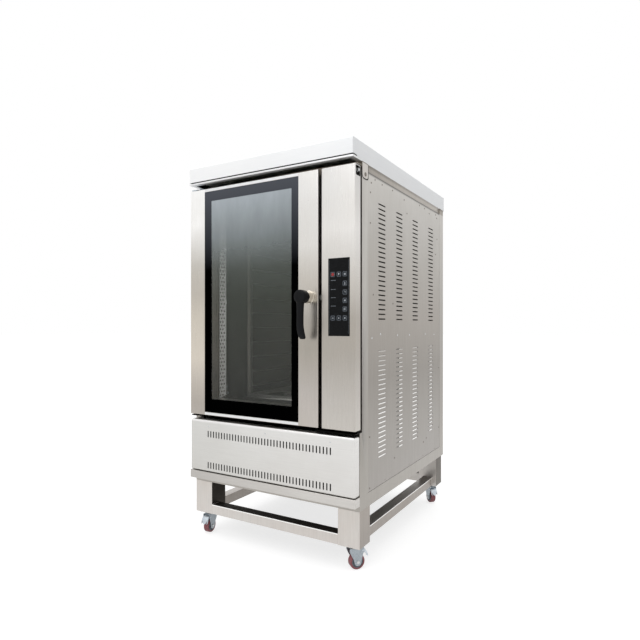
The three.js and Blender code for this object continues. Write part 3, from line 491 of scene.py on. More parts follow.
def add_node(tree: NodeTree, kind: str, settings: dict[str, object] | None = None,
             inputs: Inputs | None = None) -> bpy.types.Node:
    """Adds one shader node.

    Args:
        tree: The node tree.
        kind: The node's Blender type.
        settings: Its properties. stops gives a colour ramp's positions and colours.
        inputs: Its inputs by name or number, each a value or the socket that it comes from.

    Returns:
        The node.
    """
    node = tree.nodes.new(kind)
    for name, value in (settings or {}).items():
        if name == "stops":
            elements = node.color_ramp.elements
            while len(elements) < len(value):
                elements.new(1.0)
            for element, (position, colour) in zip(elements, value):
                element.position = position
                element.color = linear(colour)
        else:
            setattr(node, name, value)
    for key, value in (inputs or {}).items():
        if isinstance(value, NodeSocket):
            tree.links.new(value, node.inputs[key])
        else:
            node.inputs[key].default_value = value
    return node


class Grain(Enum):
    """The way that a sheet's brushing runs, as the stretch of its pattern along x, y and z."""

    UPRIGHT = (1.0, 1.0, 0.02)
    ACROSS = (0.02, 0.02, 1.0)
    ALONG = (1.0, 0.02, 1.0)
    NONE = (1.0, 1.0, 1.0)


@dataclass(frozen=True)
class Finish:
    """What every finish has: a name, a roughness, and a shader made from its own pattern."""

    name: str
    roughness: float = 0.4

    def shader(self, tree: NodeTree, place: NodeSocket) -> Inputs:
        """Inputs of the surface shader. Each finish gives its own.

        Args:
            tree: The material's node tree.
            place: Object coordinates, in metres.

        Returns:
            Values or sockets for the Principled shader's inputs.
        """
        raise NotImplementedError

    def material(self) -> bpy.types.Material:
        """The finish as a material, made once."""
        made = bpy.data.materials.get(self.name)
        if made:
            return made
        made = bpy.data.materials.new(self.name)
        made.use_nodes = True
        tree = made.node_tree
        tree.nodes.clear()
        place = add_node(tree, "ShaderNodeTexCoord").outputs["Object"]
        surface = add_node(tree, "ShaderNodeBsdfPrincipled", inputs=self.shader(tree, place))
        add_node(tree, "ShaderNodeOutputMaterial", inputs={"Surface": surface.outputs[0]})
        return made

    def noise(self, tree: NodeTree, place: NodeSocket, size: float,
              stretch: Sequence[float] = (1.0, 1.0, 1.0), detail: float = 3.0) -> NodeSocket:
        """A cloudy pattern.

        Args:
            tree: The material's node tree.
            place: Object coordinates, in metres.
            size: Width of a blotch, in millimetres.
            stretch: How much finer or coarser it is along x, y and z.
            detail: How many finer layers it has.

        Returns:
            Its values, between 0 and 1 and mostly near the middle.
        """
        scale = [value / (size * MM) for value in stretch]
        at = add_node(tree, "ShaderNodeMapping", inputs={"Vector": place, "Scale": scale})
        return add_node(tree, "ShaderNodeTexNoise", inputs={
            "Vector": at.outputs[0], "Scale": 1.0, "Detail": detail, "Roughness": 0.6}).outputs[0]

    def by_height(self, tree: NodeTree, height: NodeSocket, stops: Stops) -> NodeSocket:
        """A colour that changes with height, from stops of a height in millimetres and a colour."""
        share = add_node(tree, "ShaderNodeMapRange", inputs={
            "Value": height, "From Min": 0.0, "From Max": OVEN_HEIGHT * MM}).outputs[0]
        ramp = [(z / OVEN_HEIGHT, colour) for z, colour in stops]
        return add_node(tree, "ShaderNodeValToRGB", {"stops": ramp}, {"Fac": share}).outputs[0]

    def ranged(self, tree: NodeTree, value: NodeSocket, low: float, high: float) -> NodeSocket:
        """A pattern's values spread between two numbers."""
        return add_node(tree, "ShaderNodeMapRange", inputs={
            "Value": value, "From Min": 0.3, "From Max": 0.7, "To Min": low, "To Max": high}).outputs[0]

    def tinted(self, tree: NodeTree, amount: NodeSocket, plain: NodeSocket | tuple[float, ...],
               tint: NodeSocket | tuple[float, ...]) -> NodeSocket:
        """A colour mixed with another one by an amount."""
        mix = add_node(tree, "ShaderNodeMix", {"data_type": "RGBA"}, {0: amount, 6: plain, 7: tint})
        return mix.outputs[2]

    def bump(self, tree: NodeTree, height: NodeSocket, depth: float, strength: float = 1.0) -> NodeSocket:
        """A relief of a depth in millimetres."""
        return add_node(tree, "ShaderNodeBump", inputs={
            "Height": height, "Distance": depth * MM, "Strength": strength}).outputs[0]


@dataclass(frozen=True)
class BrushedSteel(Finish):
    """Stainless sheet, ground with a fine belt: a soft sheen with hairlines that run one way.

    The colours are given by height, and they are painted light: they stand in for the reflections,
    highlights and shade that fall on each sheet at each height. Where right_heights is given, the
    painted tone also changes from left_x to right_x.
    """

    heights: Stops = ((0.0, "#B8B2A8"), (2015.0, "#D8D6D0"))
    grain: Grain = Grain.UPRIGHT
    hairline: float = 0.12
    stain: str = "#A89880"
    stain_amount: float = 0.12
    metal: float = 1.0
    right_heights: Stops = ()
    left_x: float = -450.0
    right_x: float = 250.0

    def shader(self, tree: NodeTree, place: NodeSocket) -> Inputs:
        """Height tone, hairlines, faint blotches and a matching relief."""
        axes = add_node(tree, "ShaderNodeSeparateXYZ", inputs={"Vector": place}).outputs
        # Painted light: the height ramps stand in for reflections, highlights and shade.
        tone = self.by_height(tree, axes["Z"], self.heights)
        if self.right_heights:
            share = add_node(tree, "ShaderNodeMapRange", inputs={
                "Value": axes["X"], "From Min": self.left_x * MM, "From Max": self.right_x * MM}).outputs[0]
            tone = self.tinted(tree, share, tone, self.by_height(tree, axes["Z"], self.right_heights))
        # Real hairlines are 0.1 mm wide. These are 3 mm, so that they still show in the render.
        lines = self.noise(tree, place, 3.0, self.grain.value, 4.0)
        # Rolling leaves faint cloudy bands about a hand's length wide.
        clouds = self.noise(tree, place, 260.0)
        blotches = self.ranged(tree, clouds, 0.0, self.stain_amount)
        stained = self.tinted(tree, blotches, tone, linear(self.stain))
        dark = self.ranged(tree, lines, 0.0, self.hairline)
        colour = self.tinted(tree, dark, stained, (0.0, 0.0, 0.0, 1.0))
        return {
            "Base Color": colour,
            "Metallic": self.metal,
            "Roughness": self.ranged(tree, lines, self.roughness - 0.05, self.roughness + 0.07),
            "Normal": self.bump(tree, lines, 0.05, 0.35),
        }


@dataclass(frozen=True)
class PlatedSteel(Finish):
    """Zinc or chrome plate over steel: a cool bright metal, mottled by crystals of a few millimetres."""

    colour: str = "#B9BFC4"
    mottle: str = "#8F979C"
    size: float = 9.0

    def shader(self, tree: NodeTree, place: NodeSocket) -> Inputs:
        """Mottled colour and roughness."""
        spots = self.noise(tree, place, self.size)
        return {
            "Base Color": self.tinted(tree, self.ranged(tree, spots, 0.0, 0.6), linear(self.colour),
                                      linear(self.mottle)),
            "Metallic": 1.0,
            "Roughness": self.ranged(tree, spots, self.roughness - 0.06, self.roughness + 0.1),
        }


@dataclass(frozen=True)
class Moulded(Finish):
    """Plastic, rubber or polyurethane out of a mould: even colour under a fine matt texture."""

    colour: str = "#2B2D30"
    worn: str = "#3A3C40"
    grit: float = 0.8
    depth: float = 0.06
    gloss: float = 0.5

    def shader(self, tree: NodeTree, place: NodeSocket) -> Inputs:
        """Faint wear and the mould's texture."""
        texture = self.noise(tree, place, self.grit, detail=2.0)
        wear = self.noise(tree, place, 30.0)
        return {
            "Base Color": self.tinted(tree, self.ranged(tree, wear, 0.0, 0.7), linear(self.colour),
                                      linear(self.worn)),
            "Roughness": self.ranged(tree, wear, self.roughness - 0.05, self.roughness + 0.08),
            "Specular IOR Level": self.gloss,
            "Normal": self.bump(tree, texture, self.depth, 0.5),
        }


@dataclass(frozen=True)
class PrintedGlass(Finish):
    """Toughened glass with a black ceramic print fired on its back: deep black under a clear gloss."""

    low: str = "#020202"
    high: str = "#5A5D64"

    def shader(self, tree: NodeTree, place: NodeSocket) -> Inputs:
        """Black, with a painted reflection that pales it towards the top, and smears in its roughness."""
        height = add_node(tree, "ShaderNodeSeparateXYZ", inputs={"Vector": place}).outputs["Z"]
        # Painted reflection: the share of the paler colour rises towards the top.
        haze = add_node(tree, "ShaderNodeMapRange", inputs={
            "Value": height, "From Min": 1.45, "From Max": 1.9}).outputs[0]
        smears = self.noise(tree, place, 120.0, (1.0, 1.0, 0.5))
        return {
            "Base Color": self.tinted(tree, haze, linear(self.low), linear(self.high)),
            "Roughness": self.ranged(tree, smears, self.roughness, self.roughness + 0.05),
            "Specular IOR Level": 0.0,
        }


@dataclass(frozen=True)
class ClearGlass(Finish):
    """A clear toughened pane with a painted reflection, paler and heavier towards its top.

    The share of the glass that the painted reflection covers at a height is given as a grey, by its linear value.
    """

    tones: Stops = (
        (760.0, "#5E605C"), (1100.0, "#60635D"), (1300.0, "#62675F"), (1450.0, "#747A74"),
        (1620.0, "#A2AAAC"), (1825.0, "#C4CCD2"))
    covers: Stops = (
        (760.0, "#808080"), (1200.0, "#888888"), (1440.0, "#A4A4A4"), (1620.0, "#CCCCCC"),
        (1825.0, "#E7E7E7"))

    def shader(self, tree: NodeTree, place: NodeSocket) -> Inputs:
        """The painted reflection as a see-through colour, with faint upright wiping marks in it."""
        height = add_node(tree, "ShaderNodeSeparateXYZ", inputs={"Vector": place}).outputs["Z"]
        wipes = self.noise(tree, place, 90.0, (1.0, 1.0, 0.3))
        cover = add_node(tree, "ShaderNodeMath", {"operation": "MULTIPLY"}, {
            0: self.by_height(tree, height, self.covers), 1: self.ranged(tree, wipes, 0.9, 1.1)}).outputs[0]
        return {
            "Base Color": self.by_height(tree, height, self.tones),
            "Roughness": self.roughness,
            "Specular IOR Level": 0.08,
            "Alpha": cover,
        }


@dataclass(frozen=True)
class Ink(Finish):
    """Pale screen-printed ink on the keypad film: flat, thin and slightly uneven."""

    colour: str = "#E4EAF0"
    worn_colour: str = "#9AA3AC"

    def shader(self, tree: NodeTree, place: NodeSocket) -> Inputs:
        """Uneven ink."""
        spread = self.noise(tree, place, 4.0)
        worn = self.ranged(tree, spread, 0.0, 0.25)
        return {
            "Base Color": self.tinted(tree, worn, linear(self.colour), linear(self.worn_colour)),
            "Roughness": self.roughness,
        }


@dataclass(frozen=True)
class MineralWool(Finish):
    """Rock wool slab: dull fibres with soft lumps."""

    colour: str = "#C8BF9E"

    def shader(self, tree: NodeTree, place: NodeSocket) -> Inputs:
        """Fibrous mottling and a deep relief."""
        fibres = self.noise(tree, place, 5.0, (1.0, 0.25, 1.0), 6.0)
        return {
            "Base Color": self.tinted(tree, self.ranged(tree, fibres, 0.0, 0.8), linear(self.colour),
                                      linear("#8F8562")),
            "Roughness": 0.95,
            "Normal": self.bump(tree, fibres, 2.0),
        }


# Satin sheet with painted light: near white in front under the ceiling's light, and painted shade to a cooler grey
# towards its right side.
HOOD_STEEL = BrushedSteel(
    "hood_stainless_satin", 0.5, ((1900.0, "#FAFAFA"), (2015.0, "#FCFCFC")), Grain.ACROSS, 0.02, "#DDE1E4",
    0.2, 0.45, ((1900.0, "#E5E6E7"), (2015.0, "#E8E9EA")), -505.0, 505.0)
# The same sheet on the canopy's top, in plain grey: a shaded copy without the front's painted light.
ROOF_STEEL = BrushedSteel(
    "roof_stainless_satin", 0.4, ((1900.0, "#A9A8A5"), (2015.0, "#A9A8A5")), Grain.ACROSS, 0.04, "#8F8C86",
    0.2)
# Painted highlight: near white, on the canopy's turned-up edge and on the door's rails.
LIP_STEEL = BrushedSteel(
    "hood_lip_painted_highlight", 0.35, ((1900.0, "#F2F3F3"), (2015.0, "#F2F3F3")), Grain.ACROSS, 0.03, "#D5D8DA",
    0.2, 0.5)
# Upright belt grinding with painted reflections: warm at handle height, paling to white at the top of the left
# stile, and a greyer painted tone on the right stile.
DOOR_STEEL = BrushedSteel(
    "door_stainless_brushed", 0.3, (
        (671.0, "#B1ABA4"), (735.0, "#B0AAA3"), (860.0, "#C4BDB4"), (974.0, "#D9D1C5"), (1206.0, "#D1CABE"),
        (1330.0, "#C4BEB5"), (1483.0, "#CAC6BF"), (1700.0, "#FAF9F7"), (1895.0, "#FFFFFE")),
    hairline=0.08, right_heights=(
        (671.0, "#BEB9B4"), (791.0, "#BBB5B0"), (1044.0, "#A9A49C"), (1190.0, "#AEA9A1"), (1250.0, "#BEB9B1"),
        (1374.0, "#C7C2BA"), (1541.0, "#DFDDD9"), (1780.0, "#DEDDDB"), (1895.0, "#E0DFDD")))
# The same grinding on the control box, with painted reflections by height: brightest near 1600 mm and darker under
# the keypad.
CONTROL_STEEL = BrushedSteel(
    "control_stainless_brushed", 0.3, (
        (650.0, "#C2BEB8"), (800.0, "#BEBAB5"), (1023.0, "#AFAAA3"), (1190.0, "#B0ABA4"), (1350.0, "#CBC7C1"),
        (1598.0, "#E3E1DE"), (1780.0, "#D4D3D1"), (1890.0, "#CDCCCB")), hairline=0.08)
# Pressed cover: pale satin with painted light, paler towards its right, a painted highlight along its rolled top
# and painted shade where the top rolls back.
COVER_STEEL = BrushedSteel(
    "cover_stainless_pressed", 0.34, (
        (300.0, "#C4C3BF"), (630.0, "#CFCECB"), (639.0, "#F6F5F4"), (647.0, "#F6F5F4"), (657.0, "#9C9996")),
    Grain.ACROSS, 0.05, "#BBB7B0", 0.2, right_heights=(
        (300.0, "#CECCC9"), (630.0, "#DCDBD9"), (639.0, "#F6F5F4"), (647.0, "#F6F5F4"), (657.0, "#9C9996")))
# Painted shade: a level strip that faces the floor's light a little less than the cover does, paler towards its
# right.
APRON_STEEL = BrushedSteel(
    "apron_stainless_brushed", 0.36, ((300.0, "#B6B3AF"), (370.0, "#BBB8B4")), Grain.ACROSS, 0.08, "#A39D94",
    right_heights=((300.0, "#C8C5C1"), (370.0, "#CBC8C4")))
# Big satin panels, with painted shade: a dark painted shadow line at their upper edge under the canopy, and darker
# below the middle.
PANEL_STEEL = BrushedSteel(
    "panel_stainless_satin", 0.4, (
        (360.0, "#A19D99"), (600.0, "#9E9A95"), (900.0, "#95908A"), (1200.0, "#A59F98"), (1500.0, "#B0ACA6"),
        (1700.0, "#BAB7B2"), (1876.0, "#C2BFBA"), (1884.0, "#3A3632")), Grain.UPRIGHT, 0.03, "#918B83", 0.15)
# Louvre blades in painted light and shade: the upper ones painted dark, so that they look dark in their openings,
# and the lower ones lighter where they catch the floor's light.
BLADE_STEEL = BrushedSteel(
    "louvre_stainless_pressed", 0.3, (
        (400.0, "#B4B1AD"), (1110.0, "#A5A19B"), (1170.0, "#6A6560"), (1800.0, "#4A4641")), Grain.ALONG, 0.03,
    "#8E8982", 0.1)
# Painted highlights on edges: near white low down, fading upwards.
EDGE_HIGHLIGHT_STEEL = BrushedSteel(
    "edge_painted_highlight", 0.25, (
        (480.0, "#F2F1EF"), (700.0, "#EFEEEC"), (940.0, "#CAC8C4"), (1060.0, "#AFABA5")), Grain.ALONG, 0.02,
    "#E8E6E2", 0.1)
# Posts and bands: satin, with painted shade on the rim under the canopy: a dark line where it folds, and darkest
# right under the canopy.
FRAME_STEEL = BrushedSteel(
    "frame_stainless_satin", 0.36, (
        (290.0, "#A7A39D"), (650.0, "#9F9B95"), (800.0, "#A19D97"), (1474.0, "#B5B2AC"), (1884.0, "#C2BFBA"),
        (1890.0, "#8A8177"), (1902.0, "#A8A196"), (1914.0, "#71685E")), Grain.UPRIGHT, 0.06, "#8F8880", 0.2)
# Thicker stand sheet, with a faint pink tinge beside its welds.
STAND_STEEL = BrushedSteel(
    "stand_stainless_satin", 0.38, ((120.0, "#CDCAC6"), (300.0, "#C8C5C0")), Grain.UPRIGHT, 0.08, "#BFA79B",
    0.22)
# Painted shade: the stand's right faces, turned away from the light.
STAND_SIDE_STEEL = BrushedSteel(
    "stand_stainless_painted_shade", 0.42, ((120.0, "#A39E99"), (300.0, "#A9A39D")), Grain.UPRIGHT, 0.08, "#8E8073",
    0.3)
# The far leg, deeper in the oven's shade.
REAR_LEG_STEEL = BrushedSteel(
    "stand_stainless_shaded", 0.45, ((120.0, "#6E6A64"), (300.0, "#645F59")), Grain.UPRIGHT, 0.08, "#6E675F",
    0.3)
# Near-black painted shade on the inner faces of the left legs, the rails' tops and the base band's underside.
SHADED_STEEL = BrushedSteel(
    "stand_steel_painted_shade", 0.6, ((120.0, "#57524C"), (300.0, "#35302B")), Grain.NONE, 0.15, "#241F1B", 0.5)
# Near-black painted shade on sheet in gaps and hollows: round the mouth, in the canopy's groove, behind the
# cover's slots, in the gap under the door, round the corner tab, in the control box's notch and on the lower
# hinge.
BLACK_SHADE_STEEL = BrushedSteel(
    "steel_painted_shade_black", 0.6, ((0.0, "#1B1A19"), (2015.0, "#24221F")), Grain.NONE, 0.2, "#100F0E", 0.5)
# Chamber sheet, browned by baking.
LINER_STEEL = BrushedSteel(
    "liner_stainless_baked", 0.4, ((700.0, "#98958D"), (1300.0, "#88867F"), (1900.0, "#7C7C78")),
    Grain.UPRIGHT, 0.12, "#6F665A", 0.35)
# Duct strips beside the mouth, near white in painted light. The low metal share lets their holes stand out through
# the glass.
DUCT_STEEL = BrushedSteel(
    "duct_stainless_satin", 0.4, ((700.0, "#EDECE8"), (1900.0, "#F2F2F0")), Grain.UPRIGHT, 0.08, "#A8A49A",
    0.25, 0.15)
# Drawn square tube, slightly shiny.
RACK_STEEL = BrushedSteel(
    "rack_stainless_tube", 0.3, ((700.0, "#C9C8C3"), (1900.0, "#B5B4B0")), Grain.NONE, 0.1)
# Bright zinc: bluish, with large soft crystals.
ZINC = PlatedSteel("zinc_plate_bright", 0.34, "#CCD3D9", "#A3ABB2")
# Passivated zinc of the forks: greyer and finer.
CASTER_ZINC = PlatedSteel("caster_zinc_passivated", 0.36, "#A7AEB3", "#7C848A", 6.0)
# Rivet heads, dulled by handling.
DULL_BOLT = PlatedSteel("rivet_steel_dull", 0.5, "#837D76", "#6B665F", 3.0)
# Turned stainless heads, which sparkle.
BOLT = PlatedSteel("bolt_stainless_turned", 0.26, "#D4D6D6", "#9FA2A3", 2.0)
# Polished chrome with a warm film of finger marks.
POLISHED = PlatedSteel("barrel_chrome_polished", 0.12, "#E4E1DA", "#C4B8A4", 25.0)
# Oxidised heater sheath: brown and matt.
HEATER = PlatedSteel("heater_steel_oxidised", 0.55, "#5B4F48", "#3A322E", 14.0)
# Phenolic lever: black, with a weak broad sheen.
LEVER_PLASTIC = Moulded("lever_phenolic_black", 0.4, "#0B0C0E", "#131416", gloss=0.12)
# Polyester film: flat black with very little gloss, and domed keys that are a shade bluer.
KEYPAD_FILM = Moulded("keypad_polyester_film", 0.25, "#131415", "#18191B", 0.6, 0.02, 0.08)
KEY_FILM = Moulded("key_polyester_dome", 0.35, "#1C2026", "#262A31", 0.6, 0.03, 0.15)
RED_FILM = Moulded("power_key_polyester_dome", 0.35, "#A23C3C", "#B84A4A", 0.6, 0.03, 0.2)
# Screen print: pale on the keys, worn grey round them.
INK = Ink("print_ink_pale", 0.5)
DIM_INK = Ink("print_ink_grey", 0.5, "#767D84", "#4A4F55")
# Polyurethane tyre: dull brick red. Its polyamide core: blue-grey.
TYRE = Moulded("tyre_polyurethane_red", 0.5, "#8E5256", "#A16468", 1.2, 0.05)
WHEEL_CORE = Moulded("wheel_core_polyamide", 0.5, "#6E767E", "#7E868D", 1.0, 0.05)
# Silicone cord: soft dark grey.
SEAL = Moulded("seal_silicone_grey", 0.6, "#3A3A3C", "#2A2A2C", 1.5, 0.08)
# Motor enamel: smooth slate blue.
ENAMEL = Moulded("motor_enamel_blue", 0.38, "#4F6070", "#5C6C7C", 2.0, 0.03)
# Rock wool: matt, fibrous, straw coloured.
WOOL = MineralWool("jacket_rock_wool")
# The outer pane: its printed border, its window with a painted reflection, and the darker inner pane behind it.
FRIT = PrintedGlass("pane_black_print", 0.05)
PANE = ClearGlass("pane_clear_painted_reflection", 0.04)
INNER_PANE = ClearGlass(
    "inner_pane_clear", 0.06, ((760.0, "#6A7072"), (1825.0, "#8A9094")),
    ((760.0, "#484848"), (1825.0, "#585858")))


# ------------------------------------------------------------------ small shared bodies


def screw_head(radius: float, height: float) -> BMesh:
    """A domed head with a cross slot's dimple, made along +Z from its seat."""
    rise = arc((0.0, 0.0), 1.0, 0, 78, 5)
    profile = [(radius, -0.6), *[(radius * x, height * y) for x, y in rise]]
    return turned([(0.0, -0.6), *profile, (radius * 0.18, height * 0.7), (0.0, height * 0.6)], 20)


def hex_bolt(across: float, height: float, washer: float) -> BMesh:
    """A hexagon head with a chamfered top on its washer, made along +Z from its seat.

    Args:
        across: Width across the head's flats.
        height: Height of the head.
        washer: Radius of the washer.

    Returns:
        The body.
    """
    radius = across / math.sqrt(3)
    sections = [(radius, 0.0), (radius, height * 0.8), (radius * 0.86, height)]
    body = loft([[Vector((*p, z)) for p in disc((0, 0), r, 6)] for r, z in sections])
    ring = turned([(0.0, -0.2), (washer, -0.2), (washer, 1.0), (washer - 0.4, 1.4), (0.0, 1.4)], 28)
    data = bpy.data.meshes.new("washer")
    ring.to_mesh(data)
    body.from_mesh(data)
    bpy.data.meshes.remove(data)
    ring.free()
    return body


# ------------------------------------------------------------------ casing


# The y and z of the side panels' rivets, screws and small seam screws
DULL_RIVETS: list[Point] = [
    (126, 1843), (169, 1867), (254, 1863), (388, 1864), (553, 1849), (596, 1782), (117, 1795), (115, 1648),
    (798, 1867), (887, 1866), (973, 1851), (1097, 1866), (1120, 1848), (1126, 1713), (1097, 1611),
    (148, 1305), (393, 1270), (1160, 881), (1160, 492), (918, 467), (867, 452), (416, 455), (107, 377),
    (107, 622),
]
BRIGHT_SCREWS: list[Point] = [(133, 1095), (233, 1113), (455, 1104), (634, 1103), (897, 1104), (1065, 1100)]
SEAM_SCREWS: list[Point] = [(289, 372), (631, 372), (857, 372), (1069, 372)]


@dataclass
class Casing:
    """The canopy, the side and rear panels, the lower front cover with its band, and the chassis."""

    body: str = "cabinet"
    skin_foot: float = 15.0
    skirt_corner: Point = (32.0, 58.0)
    lip_width: float = 25.0
    lip_rise: float = 9.0
    groove_inset: float = 6.0
    groove_heights: Point = (3.0, 30.0)
    louvre_length: float = 86.0
    louvre_slot: Point = (1.5, 8.3)
    louvre_pitch: float = 23.8
    louvre_columns: tuple[float, ...] = (251.5, 483.0, 726.0, 1000.0)
    louvre_groups: tuple[tuple[float, int], ...] = ((500.0, 23), (1183.0, 25))
    louvre_reaches: tuple[float, ...] = (2.0, 8.0)
    louvre_height: float = 9.4
    highlight_ends: tuple[Point, ...] = ((-43.0, 43.0), (-4.0, 43.0), (-43.0, 26.0), (-24.0, 26.0))
    highlight_heights: Point = (0.8, 6.6)
    vent_columns: Point = (-280.0, 280.0)
    vent_foot: float = 1500.0
    vent_pitch: float = 26.0
    vent_rows: int = 10
    gland_place: Point = (360.0, 450.0)
    slot_pitch: float = 18.95
    slot_count: int = 41
    slot_half: Point = (3.5, 17.5)
    slot_rows: tuple[float, ...] = (401.5, 569.5)
    cover_screws: tuple[float, ...] = (-376.0, 1.5, 378.5)
    cover_screw_height: float = 612.0
    tab_seat: tuple[float, ...] = (59.0, 35.0, 20.0, 1842.0)
    tab: tuple[float, ...] = (56.0, 30.0, 17.0, 1847.0)
    tab_planes: tuple[float, ...] = (508.4, 508.9, 510.4)
    tab_bolt: Point = (58.0, 1866.0)

    def build(self) -> None:
        """Builds every piece of the casing."""
        self.hood()
        self.side_panel(Side.RIGHT)
        self.side_panel(Side.LEFT)
        self.rear_panel()
        self.front_cover()
        self.apron()
        self.chassis()

    def hood(self) -> None:
        """Canopy: a folded tray whose sides reach further down, a groove lined with near-black painted shade and a
        turned-up return lip.
        """
        low, high = span("hood")
        skin = Vector((low.x, low.y, low.z + self.skin_foot))
        canopy = Form().put(fold(skin, high, 5.0, [Side.BOTTOM], segments=5))
        front, slope_end = self.skirt_corner
        head, rear = skin.z + 1.0, high.y - 2.0
        skirt = [(low.y + front, head), (low.y + slope_end, low.z), (rear, low.z), (rear, head)]
        for planes in ((high.x - 1.5, high.x + 0.3), (low.x - 0.3, low.x + 1.5)):
            canopy.put(prism(skirt, Side.RIGHT, planes, rounding=0.3))
        # The canopy's top takes the plain grey copy, without the painted light of the front.
        roof = Patch(ROOF_STEEL, (low.x - 1, low.y - 1, high.z - 2), (high.x + 1, high.y + 1, high.z + 1),
                     Side.TOP)
        canopy.make("canopy_skin", HOOD_STEEL, self.body, "canopy", ["hood"], [roof])
        width = self.lip_width
        opening = rectangle((low.x + width, low.y + width), (high.x - width, high.y - width))
        edge = Vector((high.x, high.y, low.z + self.lip_rise))
        # The lip is near white: a painted highlight.
        lip = Form().put(fold(low, edge, 2.5, [Side.TOP], {Side.BOTTOM: [opening]}))
        lip.make("canopy_lip", LIP_STEEL, self.body, "canopy")
        inset = self.groove_inset
        foot, top = self.groove_heights
        ring_low = Vector((low.x + inset, low.y + inset, low.z + foot))
        ring_high = Vector((high.x - inset, high.y - inset, low.z + top))
        # The groove's ring is near black: painted shade.
        ring = Form().put(fold(ring_low, ring_high, 2.0, [Side.TOP, Side.BOTTOM]))
        ring.make("canopy_groove", BLACK_SHADE_STEEL, self.body, "canopy")

    def louvre(self, reach: float) -> BMesh:
        """One pressed louvre: a blade that leans inwards from its slot's lower edge, with its ends closed.

        Args:
            reach: How far its upper edge stands back from the panel.

        Returns:
            The body, with its slot's lower edge on the Y axis.
        """
        half = self.louvre_length / 2
        across = 14
        body = bmesh.new()
        rows = []
        for rise in (0.0, 0.5, 1.0):
            row = []
            for n in range(across + 1):
                along = -math.cos(math.pi * n / across)
                depth = reach * rise * (1.0 - abs(along) ** 8) ** 0.5
                row.append(body.verts.new((-0.2 - depth, half * along, self.louvre_height * rise)))
            rows.append(row)
        for low, high in zip(rows, rows[1:]):
            for n in range(across):
                body.faces.new((low[n], low[n + 1], high[n + 1], high[n]))
        if sum(face.normal.x for face in body.faces) < 0:
            bmesh.ops.reverse_faces(body, faces=body.faces)
        bmesh.ops.solidify(body, geom=list(body.faces), thickness=0.9)
        return body

    def louvre_places(self, first: float, rows: int) -> list[Point]:
        """The y and z of the slots' lower edges in the group whose first row is at this height."""
        return [(y, first + row * self.louvre_pitch) for y in self.louvre_columns for row in range(rows)]

    def side_panel(self, side: Side) -> None:
        """A shallow tray, riveted to the posts. The right one has four columns of pressed louvres.

        Args:
            side: Which of the two it is.
        """
        right = side is Side.RIGHT
        word = "right" if right else "left"
        node = f"side_panel_{word}"
        low, high = span(node)
        face = high.x if right else low.x
        half = self.louvre_length / 2
        foot, head = self.louvre_slot
        groups = [self.louvre_places(*group) for group in self.louvre_groups] if right else []
        slots = [rectangle((y - half, z + foot), (y + half, z + head), 2.5, 2)
                 for places in groups for y, z in places]
        open_side = Side.LEFT if right else Side.RIGHT
        panel = Form().put(fold(low, high, 2.0, [open_side], {side: slots} if slots else None))
        panel.make(f"side_skin_{word}", PANEL_STEEL, self.body, "side_steel", [node])
        for group, reach, places in zip(("lower", "upper"), self.louvre_reaches, groups):
            blades = Form().put(self.louvre(reach), *[Matrix.Translation((face, y, z)) for y, z in places])
            blades.make(f"side_louvres_{group}", BLADE_STEEL, self.body, "side_steel")
        if right:
            self.louvre_highlights(face)
        dull, bright = Form(), Form()
        dull.put(screw_head(4.6, 1.8), *[side.matrix(face, y, z) for y, z in DULL_RIVETS])
        bright.put(screw_head(5.0, 2.0), *[side.matrix(face, y, z) for y, z in BRIGHT_SCREWS])
        dull.put(screw_head(2.8, 1.0), *[side.matrix(face, y, z) for y, z in SEAM_SCREWS])
        dull.make(f"side_rivets_{word}", DULL_BOLT, self.body, "side_steel")
        bright.make(f"side_screws_{word}", BOLT, self.body, "side_steel")

    def louvre_highlights(self, face: float) -> None:
        """Painted highlights on the lower edges of the lower louvres, which fade out towards the rear.

        Args:
            face: Where the panel's outer face lies.
        """
        first, rows = self.louvre_groups[0]
        foot, head = self.highlight_heights
        lips = Form()
        for centre, (near, far) in zip(self.louvre_columns, self.highlight_ends):
            for z in [first + row * self.louvre_pitch for row in range(rows)]:
                lip = rectangle((centre + near, z + foot), (centre + far, z + head), 2.6, 3)
                lips.put(prism(lip, Side.RIGHT, (face - 1.0, face + 0.6), rounding=0.5))
        lips.make("side_louvre_highlights", EDGE_HIGHLIGHT_STEEL, self.body, "side_steel")

    def rear_panel(self) -> None:
        """Rear tray with slots beside the motors, rivets round its edge and the supply cable's gland."""
        low, high = span("rear_panel")
        gland_reach = 24.0
        rear = high.y - gland_reach
        feet = [self.vent_foot + row * self.vent_pitch for row in range(self.vent_rows)]
        slots = [rectangle((x - 60, z), (x + 60, z + 8), 3.9, 3) for x in self.vent_columns for z in feet]
        gland_hole = disc(self.gland_place, 11, 24)
        corner = Vector((high.x, rear, high.z))
        panel = Form().put(fold(low, corner, 2.0, [Side.FRONT], {Side.REAR: [*slots, gland_hole]}))
        panel.make("rear_skin", PANEL_STEEL, self.body, "side_steel", ["rear_panel"])
        nut = [(11.0, -1.5), (19.5, -1.5), (19.5, 9.0), (18.0, 10.5), (17.0, 10.5), (16.0, 20.0),
               (13.5, 23.5), (10.2, 23.8), (10.2, -1.5)]
        cap = [(10.2, 9.0), (17.6, 9.0), (17.6, 17.0), (15.0, 23.0), (10.4, 23.9)]
        seat = Side.REAR.matrix(self.gland_place[0], rear, self.gland_place[1])
        gland = Form().put(turned(nut, 6, True), seat).put(turned(cap, 32, True), seat)
        gland.make("cable_gland", LEVER_PLASTIC, self.body, "black_plastic")
        margin = 14.0
        xs = [low.x + margin + n * (high.x - low.x - 2 * margin) / 5 for n in range(6)]
        zs = [low.z + margin + n * (high.z - low.z - 2 * margin) / 7 for n in range(8)]
        heads = [(x, z) for x in xs for z in (zs[0], zs[-1])]
        heads += [(x, z) for x in (xs[0], xs[-1]) for z in zs[1:-1]]
        rivets = Form().put(screw_head(4.2, 1.8), *[Side.REAR.matrix(x, rear, z) for x, z in heads])
        rivets.make("rear_rivets", BOLT, self.body, "side_steel")

